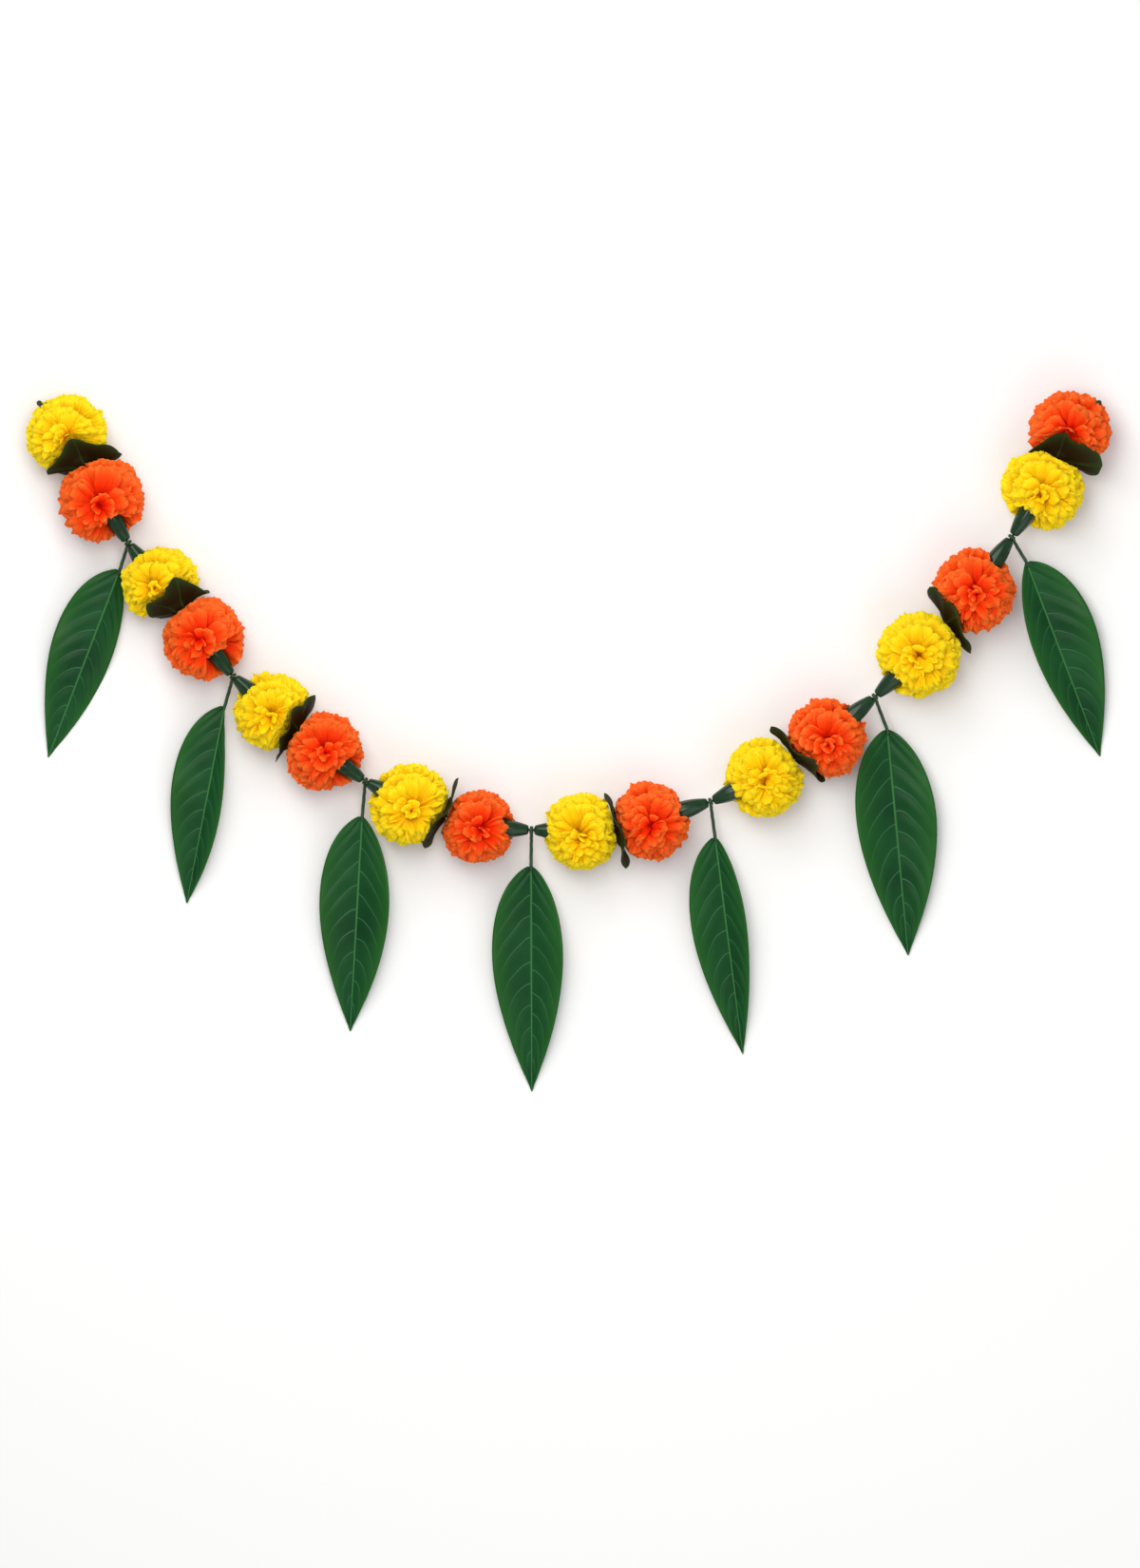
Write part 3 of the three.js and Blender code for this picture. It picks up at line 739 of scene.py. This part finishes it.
def placeCalyxes():
    model = modelCalyx()
    for knot in knots:
        for side, bloom in (("left", knot["last"]), ("right", knot["next"])):
            direction = (bloom["place"] - knot["place"]).normalized()
            start = knot["place"] + direction * threading["calyxStart"]
            copied = model.copy()
            copied.data = model.data.copy()
            bpy.context.scene.collection.objects.link(copied)
            copied.data.transform(frameAlong(direction, start))
            name = "%s_%d" % (side, knot["number"])
            finishPiece(copied, "calyxCone_" + name, plastic, "calyx_plastic", "calyx_" + name, angle=50)
    bpy.data.objects.remove(model)


placeCalyxes()
print("calyxes made")


# The long leaves.

leafValues = {
    "baseHeight": 15 * mm,
    "tipHeight": 0.6 * mm,
    "arch": 1.4,  # higher keeps the blade up for longer before it comes down to its tip
    "thickness": 0.7 * mm,
    "taper": 1.05,
    "wave": 1.4 * mm,
    "waves": 2.5,
    "bladeRun": (0.004, 0.994),  # where the blade starts on its midrib, and how far it runs
    "rows": 90,
    "columns": 18,  # on each side of the midrib, closer beside it
    "columnPower": 1.55,
    "ribHalfWidth": 0.62 * mm,
    "ribHeight": 0.9 * mm,
    "ribThinning": (0.7, 0.6),  # of its width and of its height at the tip
    "rounding": 0.18,  # how much flatter a half is beside the midrib
    "veinLift": 0.4 * mm,
    "stemRadius": 1.3 * mm,
    "stemSides": 10,
    "stemSteps": 14,  # between two of its control points
    "stemSag": 5 * mm,
    "ringRadius": 2.3 * mm,  # the middle of the tape that is wound round the cord
    "ringLength": 1.9 * mm,
    "ringTurns": 2,
    "ringSteps": 26,  # in a turn
    "tapeRadius": 0.7 * mm,
    "tapeSides": 8,
}
# Where each blade starts and ends, its half widths to the left and right of the midrib in
# millimetres, how many degrees each half lifts, and how far from the base it is widest.
leafShapes = [
    ((-322, 123.4), (-373.9, -10.9), (27.7, 16.9), (6, -24), (0.62, 0.82)),
    ((-246.8, 25.8), (-274.4, -115.6), (26.9, 11.6), (8, 40), (0.62, 1.3)),
    ((-148.2, -53), (-157.1, -207.4), (27.2, 23), (10, 24), (0.62, 0.8)),
    ((-27.2, -88.7), (-26.7, -250.6), (28.2, 22.6), (12, 24), (0.62, 0.72)),
    ((104.7, -68), (124.8, -223.7), (25.2, 14.1), (12, 38), (0.62, 0.75)),
    ((228.1, 9.2), (243.4, -153), (28.2, 29.1), (14, 12), (0.62, 0.7)),
    ((327.8, 129.2), (381.1, -10.2), (18.2, 30.1), (30, 8), (0.8, 0.62)),
]


def leafReach(shape, share, side):
    # A blade's half width along its length. With a higher rise it is widest further from its
    # base.
    rise, taper = shape[4][side], leafValues["taper"]
    widest = rise / (rise + taper)
    outline = (share / widest) ** rise * ((1 - share) / (1 - widest)) ** taper
    return shape[2][side] * mm * outline, outline


def leafPlace(shape, share, across):
    # A point in the middle of the blade's thickness: share runs from base to tip, and
    # across from -1 at the left edge to 1 at the right one.
    values = leafValues
    side, aside = (0 if across < 0 else 1), abs(across)
    base = Vector((shape[0][0] * mm, shape[0][1] * mm, values["baseHeight"]))
    tip = Vector((shape[1][0] * mm, shape[1][1] * mm, values["tipHeight"]))
    run = (tip - base).to_2d().normalized()
    place = base.lerp(tip, share)
    place.z = tip.z + (base.z - tip.z) * (1 - share ** values["arch"])
    reach, outline = leafReach(shape, share, side)
    half = reach * aside
    place += Vector((-run.y, run.x, 0)) * (half if side else -half)
    rounded = 1 - values["rounding"] * (1 - aside) * outline
    phase = share * values["waves"] * math.tau + (2 if side else 0)
    wave = values["wave"] * math.sin(phase) * outline * aside ** 2
    place.z += half * math.tan(math.radians(shape[3][side])) * rounded + wave
    # The blade swells a little between two side veins.
    swept = veinPattern["sweep"] * aside ** veinPattern["sweepPower"]
    vein = share * veinPattern["veins"] - swept + (0 if side else veinPattern["ahead"])
    place.z += values["veinLift"] * math.cos(math.tau * vein) * math.sin(math.pi * min(1, aside))
    place.z = max(place.z, values["thickness"] * 0.5)
    return place


def makeBlade(shape):
    values = leafValues
    columns, rows = values["columns"], values["rows"]
    acrosses = [math.copysign((abs(c) / columns) ** values["columnPower"], c) if c else 0.0
                for c in range(-columns, columns + 1)]
    first, run = values["bladeRun"]
    thinner, lower = values["ribThinning"]
    points, uvs, ribs = [], [], []
    for row in range(rows + 1):
        share = first + run * (1 - math.cos(math.pi * row / rows)) / 2
        for across in acrosses:
            place = leafPlace(shape, share, across)
            reach = leafReach(shape, share, 0 if across < 0 else 1)[0]
            beside = min(1.0, abs(across) * reach / (values["ribHalfWidth"] * (1 - thinner * share)))
            ridge = max(0.0, 1 - beside ** 2)
            place.z += values["ribHeight"] * (1 - lower * share) * ridge
            points.append(place)
            uvs.append((0.5 + across / 2, share))
            ribs.append(ridge ** 0.5)
    blade = newMesh("blade", points, gridFaces(rows, len(acrosses)), uvs, ribs)
    applyModifier(blade, "SOLIDIFY", thickness=values["thickness"], offset=0)
    return blade


def closedTube(rings, sides):
    faces = gridFaces(len(rings) // sides - 1, sides, closed=True)
    faces += [tuple(range(sides)), tuple(range(len(rings) - 1, len(rings) - sides - 1, -1))]
    tube = newMesh("tube", rings, faces)
    turnOutwards(tube)
    return tube


def smoothLine(controls, steps):
    # A Catmull-Rom line through the control points.
    ends = [controls[0] * 2 - controls[1], *controls, controls[-1] * 2 - controls[-2]]
    points = []
    for a, b, c, d in zip(ends, ends[1:], ends[2:], ends[3:]):
        for t in (i / steps for i in range(steps)):
            points.append(0.5 * (b * 2 + (c - a) * t + (a * 2 - b * 5 + c * 4 - d) * t ** 2
                                 + (b * 3 - a - c * 3 + d) * t ** 3))
    return [*points, controls[-1]]


def makeStem(shape, knot):
    values = leafValues
    base = leafPlace(shape, values["bladeRun"][0], 0)
    away = Vector((base.x - knot["place"].x, base.y - knot["place"].y, -30 * mm)).normalized()
    points = smoothLine([
        knot["place"] + away * (threading["boreRadius"] + 1.2 * mm),
        knot["place"].lerp(base, 0.4) - up * values["stemSag"], base + up * 0.4 * mm,
        leafPlace(shape, 0.02, 0) + up * 0.6 * mm, leafPlace(shape, 0.04, 0) + up * 0.3 * mm],
        values["stemSteps"])
    # Narrow tape is wound up the stem, and the stem thins out where it turns into the midrib.
    sides, rings = values["stemSides"], []
    for i, point in enumerate(points):
        across, rise = axesAlong(points, i)
        thin = 1 - 1.1 * max(0, i / (len(points) - 1) - 0.5)
        for around in (math.tau * side / sides for side in range(sides)):
            radius = values["stemRadius"] * thin * (0.95 + 0.05 * math.cos(around + i * 0.9))
            rings.append(point + (across * math.cos(around) + rise * math.sin(around)) * radius)
    stem = closedTube(rings, sides)
    # The tape ends wound round the cord, under the stem.
    direction = (knot["next"]["place"] - knot["last"]["place"]).normalized()
    matrix = frameAlong(direction, knot["place"])
    sides, rings, steps = values["tapeSides"], [], values["ringSteps"] * values["ringTurns"]
    for i in range(steps + 1):
        turn = math.tau * values["ringTurns"] * i / steps
        out = matrix.to_3x3() @ Vector((math.cos(turn), math.sin(turn), 0))
        along = direction * (i / steps - 0.5) * values["ringLength"]
        point = knot["place"] + out * values["ringRadius"] + along
        size = values["tapeRadius"] * min(1.0, 0.35 + min(i, steps - i) * 0.2)
        for around in (math.tau * side / sides for side in range(sides)):
            rings.append(point + (out * math.cos(around) + direction * math.sin(around)) * size)
    return joinAt([stem, closedTube(rings, sides)], Matrix.Identity(4))


for knot, shape in zip(knots, leafShapes):
    name = "leaf_%d" % knot["number"]
    finishPiece(makeBlade(shape), "leafBlade_%d" % knot["number"], leafCloth, "mango_leaf", name)
    finishPiece(makeStem(shape, knot), "leafStem_%d" % knot["number"], stemTape, "mango_leaf", name)
print("leaves made")


# The leaf skirts.

skirtValues = {
    "reach": 29.5 * mm,
    "notch": 21.5 * mm,
    "hole": 1.8 * mm,
    "flat": 9 * mm,
    "thickness": 0.6 * mm,
    "floor": 0.6 * mm,
    "cup": 3,
    "spread": 0.8,
    "bulge": 0.045,
    "rounding": 0.045,
    "roundingWidth": 0.09,  # in radians from a lobe's tip
    "turns": 96,
    "rings": 16,
    "ribWidth": 0.9 * mm,
    "ribHeight": 0.7 * mm,
    "ribFade": 0.6,  # of its height at a lobe's tip
    "scallop": 0.02,
    "scallops": 5,
    "wave": 0.6 * mm,
    "waves": 3,
    "twist": (0.25, 0.55),
    "curl": (0.5 * mm, 2.2 * mm),
}
# How many degrees each skirt's lobes bend to the higher bloom, on top and at the left and
# right, how far it is turned on the cord, and how far its middle has slipped to the right.
skirtShapes = [
    {"lean": 46, "left": 8, "right": -15, "roll": 8, "slip": 0},
    {"lean": 40, "left": 22, "right": 4, "roll": 34, "slip": 0},
    {"lean": 20, "left": -5, "right": 7, "roll": 10, "slip": 0},
    {"lean": 6, "left": 11, "right": -5, "roll": 0, "slip": 0},
    {"lean": 4, "left": -6, "right": 5, "roll": 0, "slip": 0.15},
    {"lean": 8, "left": -6, "right": 14, "roll": 12, "slip": 0},
    {"lean": 16, "left": 14, "right": -19, "roll": 6, "slip": 0},
    {"lean": 46, "left": -16, "right": 4, "roll": -8, "slip": 0.16},
]
quarter = math.tau / 4


def placeSkirt(number, shape):
    # A skirt sits between the two blooms of a pair and bends towards the higher one.
    pair = blooms[number * 2:number * 2 + 2]
    higher, lower = pair if pair[0]["place"].y > pair[1]["place"].y else reversed(pair)
    toHigher = higher["place"] - lower["place"]
    middle = lower["place"] + toHigher * (lower["radius"] / (lower["radius"] + higher["radius"]))
    toHigher.normalize()
    across = toHigher.cross(up).normalized()
    skirt = {**shape, "number": number + 1, "roll": math.radians(shape["roll"]), "middle": middle,
             "toHigher": toHigher, "across": across, "rise": across.cross(toHigher), "higher": higher}
    for bloom in pair:
        bloom["skirt"] = skirt
    return skirt


def skirtBend(skirt, distance, angle):
    # The bend at an angle from straight up over the cord to its right. The middle is flat.
    bend = skirtValues["cup"]
    for name, turn in (("lean", 0), ("left", -quarter), ("right", quarter)):
        bend = bend + skirt[name] * np.maximum(0, np.cos(angle - turn)) ** skirtValues["spread"]
    return np.radians(bend) * np.minimum(1, distance / skirtValues["flat"])


def skirtReach(turn):
    # Four lobes with slightly bulging sides, rounded tips and a shallow notch between two.
    fromTip = abs((turn + quarter / 2) % quarter - quarter / 2)
    tip, notch = skirtValues["reach"], skirtValues["notch"]
    straight = tip * notch * np.sin(quarter / 2) / (
        tip * np.sin(fromTip) + notch * np.sin(quarter / 2 - fromTip))
    bulge = 1 + skirtValues["bulge"] * np.sin(math.tau * fromTip / quarter)
    rounded = skirtValues["rounding"] * np.exp(-(fromTip / skirtValues["roundingWidth"]) ** 2)
    return straight * bulge * (1 - rounded)


def skirtPlace(skirt, turn, distance):
    angle = skirt["roll"] + turn
    direction = skirt["rise"] * math.cos(angle) + skirt["across"] * math.sin(angle)
    bend = float(skirtBend(skirt, distance, angle))
    flat = distance * math.cos(bend)
    place = skirt["middle"] + direction * flat + skirt["toHigher"] * flat * math.tan(bend)
    place.z = max(place.z, skirtValues["floor"])
    return place


def makeSkirt(skirt):
    values = skirtValues
    turns, rings = values["turns"], values["rings"]
    draw = random.Random(skirt["number"] * 31)
    phases = [draw.uniform(0, math.tau) for _ in range(3)]
    # Every lobe is twisted a little about its rib, and its tip curls to one side.
    twists = [draw.choice((-1, 1)) * draw.uniform(*values["twist"]) for _ in range(4)]
    curls = [draw.choice((-1, 1)) * draw.uniform(*values["curl"]) for _ in range(4)]
    points, uvs, ribs = [], [], []
    for share in (ring / rings for ring in range(rings + 1)):
        for column in range(turns):
            turn = math.tau * column / turns
            slip = 1 + skirt["slip"] * math.sin(skirt["roll"] + turn)
            scallop = 1 + values["scallop"] * math.sin(values["scallops"] * turn + phases[0])
            distance = values["hole"] + share * (skirtReach(turn) * slip * scallop - values["hole"])
            place = skirtPlace(skirt, turn, distance)
            lobe = int(turn / quarter + 0.5) % 4
            aside = (turn + quarter / 2) % quarter - quarter / 2
            ribWidth = values["ribWidth"] * (1.3 - share)
            ridge = max(0.0, 1 - (aside * distance / ribWidth) ** 2) * (1 - share * values["ribFade"])
            wave = values["wave"] * math.sin(values["waves"] * turn + phases[1]) * share ** 2
            wave += twists[lobe] * distance * 0.25 * math.sin(4 * aside) * share ** 2
            wave += curls[lobe] * math.cos(2 * aside) ** 2 * share ** 4
            place += skirt["toHigher"] * (wave - ridge * values["ribHeight"])
            place.z = max(place.z, values["floor"])
            points.append(place)
            uvs.append((column / turns, share))
            ribs.append(ridge)
    sheet = newMesh("skirt", points, gridFaces(rings, turns, closed=True), uvs, ribs)
    applyModifier(sheet, "SOLIDIFY", thickness=values["thickness"], offset=0)
    name = "leaf_skirt_%d" % skirt["number"]
    finishPiece(sheet, "leafSkirt_%d" % skirt["number"], skirtCloth, "skirt_leaf", name, angle=50)


for number, shape in enumerate(skirtShapes):
    makeSkirt(placeSkirt(number, shape))
print("skirts made")


# The blooms.

# Each whorl, from the face to the back. Lengths are shares of the bloom's radius.
whorlTerms = [
    "polar",  # how far its rims are from the face's axis, in degrees
    "petals",
    "half",  # a petal's width on each side
    "teeth",  # in a petal's rim
    "reach",
    "round",  # how much shorter a petal is along its sides
    "bend",  # how far back it begins to bend outwards
    "slope",  # how many degrees its end slopes back
    "droop",  # how many degrees it droops to the leaf tips
    "ruffle",
    "fold",  # how deep it is folded along its middle
    "free",  # how much of the side away from the leaf tips has no petals
    "pinch",  # how far from the middle the feet meet on the axis, if they do
]
whorlRows = [
    (14, 5, 0.14, 3, 0.98, 0.1, 0.14, 6, 6, 0.07, 0.04, 0, 0.84),
    (31, 7, 0.22, 3, 0.99, 0.1, 0.26, 16, 8, 0.1, 0.06, 0.4, 0.76),
    (44, 9, 0.26, 4, 1, 0.1, 0.34, 24, 10, 0.11, 0.06, 0.2, 0.7),
    (56, 11, 0.28, 4, 1, 0.08, 0.4, 30, 8, 0.1, 0.05, 0, 0.62),
    (68, 11, 0.3, 4, 0.99, 0.06, 0.44, 16, 6, 0.085, 0.03, 0, 0),
    (80, 14, 0.28, 4, 1.01, 0.1, 0.44, 5, 2, 0.085, 0.03, 0, 0),
    (91, 14, 0.29, 4, 1.01, 0.1, 0.42, 0, 0, 0.085, 0.02, 0, 0),
    (104, 13, 0.28, 4, 1, 0.1, 0.42, 6, 0, 0.085, 0.03, 0, 0),
    (119, 11, 0.26, 3, 0.99, 0.12, 0.4, 16, 0, 0.08, 0.05, 0, 0),
    (135, 9, 0.22, 3, 0.98, 0.16, 0.36, 28, 0, 0.075, 0.07, 0, 0.62),
    (151, 7, 0.18, 3, 0.95, 0.18, 0.26, 20, 0, 0.07, 0.07, 0, 0.68),
    (167, 5, 0.13, 2, 0.92, 0.2, 0.12, 8, 0, 0.04, 0.04, 0, 0.72),
]
bloomValues = {
    "rowShares": (0.0, 0.5, 0.82, 1.0),
    "footReach": 0.45,
    "footWidth": 0.35,  # of the petal's width
    "coreReach": 0.5,
    "tooth": 0.035,
    "columnsPerTooth": 3,
    "thickness": 0.35 * mm,
    "faceTilt": 9,
    "faceDroop": 7,
    # What a petal may draw: degrees off its whorl and off its slope, and shares of the rest.
    "polarSpread": (-9, 9),
    "slopeSpread": (-22, 22),
    "reachSpread": (0.94, 1.03),
    "footAside": (-0.02, 0.13),
    "pinchSpread": (0.93, 1.03),
    "waveSpread": (5, 8),
    "finerWaves": (2.3, 0.35),  # how much finer the second waves are, and how high
    "roughSpread": (0.7, 1.3),
    "cupSpread": (-0.05, 0.1),
    "widthSpread": (0.85, 1.15),
    "droopSpread": (0.55, 1.4),
    "calmShare": 0.55,  # how much less a petal is ruffled on the side away from the leaf tips
    "calmPolar": 75,  # in the whorls nearer to the face than this
    "roughness": {"yellow": 1.0, "orange": 1.25},
    "floor": 0.25 * mm,
    "spare": 1.05 * mm,
    "pressDepth": 3 * mm,
    "pressStart": 2 * mm,
    "pressEnd": 12 * mm,
    "shield": 5.4 * mm,
    "calyxGap": 0.4 * mm,
    "calyxRoom": 7.9 * mm,
    "overhang": 9 * mm,
}


def pressUnderSkirt(points, bloom):
    # A skirt presses the petals square to its face, the nearest ones most, and keeps their
    # order. Past its edge they swell back to the bloom's outline.
    values = bloomValues
    skirt = bloom["skirt"]
    toHigher, riseWay, acrossWay = (np.array(skirt[name]) for name in ("toHigher", "rise", "across"))
    local = points - np.array(skirt["middle"])
    along, rise, across = local @ toHigher, local @ riseWay, local @ acrossWay
    distance = np.maximum(np.hypot(rise, across), 1e-6)
    angle = np.arctan2(across, rise)
    bend = skirtBend(skirt, distance, angle)
    offset = distance * np.tan(bend)
    spare = values["spare"] * (1.4 + 3.2 * np.abs(bend))
    depth = values["pressDepth"]
    isHigher = bloom is skirt["higher"]
    if isHigher:
        inside = offset + spare + depth - along
    else:
        inside = along - np.minimum(offset, values["shield"]) + spare + depth
    pressed = depth * (1 - np.exp(-np.maximum(inside, 0) / depth))
    move = np.where(inside > 0, inside - pressed, 0)
    if not isHigher:
        return points - toHigher[None, :] * move[:, None]
    reach = skirtReach(angle - skirt["roll"]) * (1 + skirt["slip"] * np.sin(angle))
    past = distance * np.cos(bend) + along * np.sin(bend) - reach
    held = np.clip((values["pressEnd"] - past) / (values["pressEnd"] - values["pressStart"]), 0, 1)
    held = held * held * (3 - 2 * held)
    ring = (rise[:, None] * riseWay[None, :] + across[:, None] * acrossWay[None, :]) / distance[:, None]
    square = toHigher[None, :] * np.cos(bend)[:, None] - ring * np.sin(bend)[:, None]
    return points + square * (move * np.cos(bend) * held)[:, None]


def besideCalyx(points, bloom):
    # Where points are beside a bloom's calyx: how far past its wide end, aside and above.
    inward = bloom["knot"]["place"] - bloom["place"]
    length = calyxValues["length"] + calyxValues["tooth"]
    start = inward.length - threading["calyxStart"] - length - bloomValues["calyxGap"]
    inward.normalize()
    across = inward.cross(up).normalized()
    rise = np.array(across.cross(inward))
    local = points - np.array(bloom["place"])
    return local @ np.array(inward) - start, np.abs(local @ np.array(across)), local @ rise, rise


def clearOfCalyx(points, bloom):
    past, side, height, _ = besideCalyx(points, bloom)
    room = bloomValues["calyxRoom"]
    blocked = (past > 0) & (np.hypot(side, height) < room)
    toKnot = bloom["knot"]["place"] - bloom["place"]
    if toKnot.y < 0:
        # The petals over its wide end hang further the less steeply it leaves the bloom.
        overhang = bloomValues["overhang"] * (1 + toKnot.normalized().y)
        blocked |= (past > calyxValues["tooth"] + overhang) & (height > 0) & (side < room)
    return ~blocked


def pressUnderCalyx(points, bloom):
    # The petals beside and behind a calyx are pressed down round it.
    past, side, height, rise = besideCalyx(points, bloom)
    room = bloomValues["calyxRoom"] + 0.3 * mm
    pressed = (past > 0) & (side < room) & (height < room * 0.45)
    under = -np.sqrt(np.maximum(room ** 2 - side ** 2, 0))
    drop = np.where(pressed, np.minimum(under - height, 0), 0)
    return points + rise[None, :] * drop[:, None]


def clearShare(points, bloom):
    # How far a petal's points can all stand from the bloom's middle, as a share of their way.
    middle = np.array(bloom["place"])
    away = points - middle
    low, high = np.zeros(len(points)), np.ones(len(points))
    for _ in range(14):
        half = (low + high) / 2
        good = clearOfCalyx(middle + away * half[:, None], bloom)
        low, high = np.where(good, half, low), np.where(good, high, half)
    return np.where(clearOfCalyx(points, bloom), 1.0, low).min()


def keepClear(petals, bloom):
    # A petal is shortened as a whole beside a calyx, and pressed flat along a skirt.
    middle = np.array(bloom["place"])
    if bloom["knot"] is not None:
        petals = [pressUnderCalyx(petal, bloom) for petal in petals]
        petals = [middle + (petal - middle) * clearShare(petal, bloom) for petal in petals]
        petals = [pressUnderCalyx(petal, bloom) for petal in petals]
    points = pressUnderSkirt(np.concatenate(petals), bloom)
    points[:, 2] = np.maximum(points[:, 2], bloomValues["floor"])
    return points


def petalPoints(whorl, turn, bloom, axes, draw):
    # A petal rises from its foot by the core and bends outwards to its rim. U runs across
    # it and V along it.
    values = bloomValues
    face, first, second = axes

    def drawn(name):
        return draw.uniform(*values[name])
    columns = whorl["teeth"] * values["columnsPerTooth"] + 1
    u = np.linspace(-1, 1, columns)[None, :]
    v = np.array(values["rowShares"])[:, None]
    outward = first * math.cos(turn) + second * math.sin(turn)
    sideways = np.cross(face, outward)
    polar = math.radians(whorl["polar"] + drawn("polarSpread"))
    slope = math.radians(whorl["slope"] + drawn("slopeSpread"))
    rim = whorl["reach"] * drawn("reachSpread") * np.array((math.sin(polar), math.cos(polar)))
    back = 1 if whorl["polar"] > 90 else -1
    foot = values["footReach"] * np.array((math.sin(polar) * 0.6, math.cos(polar)))
    if whorl["pinch"]:
        foot = np.array((drawn("footAside"), -back * whorl["pinch"] * drawn("pinchSpread")))
    bend = rim - whorl["bend"] * np.array((math.cos(slope), back * math.sin(slope)))
    # Its middle line is a curve from the foot over the bend to the rim.
    t = v * (1 - whorl["round"] * u ** 2)
    notches = (np.arange(columns) % values["columnsPerTooth"] == 0)[None, :]
    t = t - values["tooth"] * notches * (v > 0.99)
    wide = t[:, :, None]
    line = foot * (1 - wide) ** 2 + bend * (2 * wide * (1 - wide)) + rim * wide ** 2
    along = (bend - foot) * (1 - wide) + (rim - bend) * wide
    along /= np.maximum(np.linalg.norm(along, axis=2, keepdims=True), 1e-9)
    # Ruffles stand square to the sheet and grow towards its rim.
    waves = whorl["half"] * drawn("waveSpread")
    phase, phase2 = draw.uniform(0, math.tau), draw.uniform(0, math.tau)
    finer, low = values["finerWaves"]
    ripple = np.sin(math.pi * waves * u + phase) + low * np.sin(math.pi * waves * finer * u + phase2)
    calm = 1 - values["calmShare"] * max(0, outward[1]) * (whorl["polar"] < values["calmPolar"])
    rough = values["roughness"][bloom["what"]] * drawn("roughSpread") * calm
    fold = whorl["fold"] * draw.choice((-1, 1)) * (np.abs(u) - 0.4) + drawn("cupSpread") * u ** 2
    lift = rough * (whorl["ruffle"] * t ** 1.8 * ripple + fold * t)
    out = line[:, :, 0] - along[:, :, 1] * lift
    high = line[:, :, 1] + along[:, :, 0] * lift
    half = whorl["half"] * drawn("widthSpread")
    side = half * (values["footWidth"] + (1 - values["footWidth"]) * np.minimum(1, t / 0.7) ** 0.8) * u
    out = out - side ** 2 / (2 * np.maximum(out, 0.5))
    way = outward * out[:, :, None] + face * high[:, :, None] + sideways * side[:, :, None]
    # The petal droops towards the leaf tips, most where it points away from them.
    rimWay = outward * rim[0] + face * rim[1]
    aloft = 0.25 + 0.75 * (rimWay[1] + 1) / 2
    droop = math.radians(whorl["droop"]) * aloft * drawn("droopSpread")
    turned = way.reshape(-1, 3) @ np.array(Matrix.Rotation(droop, 3, "X")).T
    return np.array(bloom["place"]) + turned * bloom["radius"]


def faceAxes(draw):
    # The way that a bloom faces, and two ways square to it.
    tilt = math.radians(draw.uniform(-bloomValues["faceTilt"], bloomValues["faceTilt"]))
    turn = draw.uniform(0, math.tau)
    face = np.array((math.sin(tilt) * math.cos(turn), math.sin(tilt) * math.sin(turn), math.cos(tilt)))
    face = np.array(Matrix.Rotation(math.radians(bloomValues["faceDroop"]), 3, "X")) @ face
    first = np.cross(face, (0, 1, 0))
    first /= np.linalg.norm(first)
    return face, first, np.cross(face, first)


def bloomCore(bloom):
    bpy.ops.mesh.primitive_ico_sphere_add(
        subdivisions=3, radius=bloom["radius"] * bloomValues["coreReach"], location=bloom["place"])
    core = bpy.context.object
    makeActive(core)
    bpy.ops.object.transform_apply(location=True, rotation=True, scale=True)
    points = np.array([vertex.co for vertex in core.data.vertices])
    core.data.vertices.foreach_set("co", keepClear([points], bloom).astype(np.float32).ravel())
    # The core takes the colour of the petals' feet, the painted shade deep in the bloom.
    for loop in core.data.uv_layers["UVMap"].data:
        loop.uv = (0.5, 0.1)
    return core


def makeBloom(bloom):
    values = bloomValues
    draw = random.Random(bloom["number"] * 7919 + (bloom["what"] == "orange") * 104729)
    axes = faceAxes(draw)
    rows = len(values["rowShares"])
    sheets, faces, uvs, offset = [], [], [], 0
    for whorl in (dict(zip(whorlTerms, row)) for row in whorlRows):
        start = draw.uniform(0, math.tau)
        columns = whorl["teeth"] * values["columnsPerTooth"] + 1
        grid = gridFaces(rows - 1, columns)
        for i in range(whorl["petals"]):
            turn = start + math.tau * (i + draw.uniform(-0.25, 0.25)) / whorl["petals"]
            if (axes[1] * math.cos(turn) + axes[2] * math.sin(turn))[1] > 1 - whorl["free"]:
                continue
            sheets.append(petalPoints(whorl, turn, bloom, axes, draw))
            faces += [tuple(offset + corner for corner in quad) for quad in grid]
            pleatStart = draw.uniform(0, 9)
            uvs += [(pleatStart + whorl["half"] * 2 * c / (columns - 1), v) for v in values["rowShares"]
                    for c in range(columns)]
            offset += columns * rows
    petals = newMesh("petals", keepClear(sheets, bloom), faces, uvs)
    applyModifier(petals, "SOLIDIFY", thickness=values["thickness"], offset=0)
    whole = joinAt([petals, bloomCore(bloom)], Matrix.Identity(4))
    what = bloom["what"]
    name = "%s_%d" % (what, bloom["number"])
    finishPiece(whole, "pompon_" + name, petalSheets[what], what + "_petals", "bloom_" + name)


for bloom in blooms:
    bloom["knot"] = next((s for s in (bloom["last"], bloom["next"]) if s["what"] == "knot"), None)
    makeBloom(bloom)
print("blooms made")
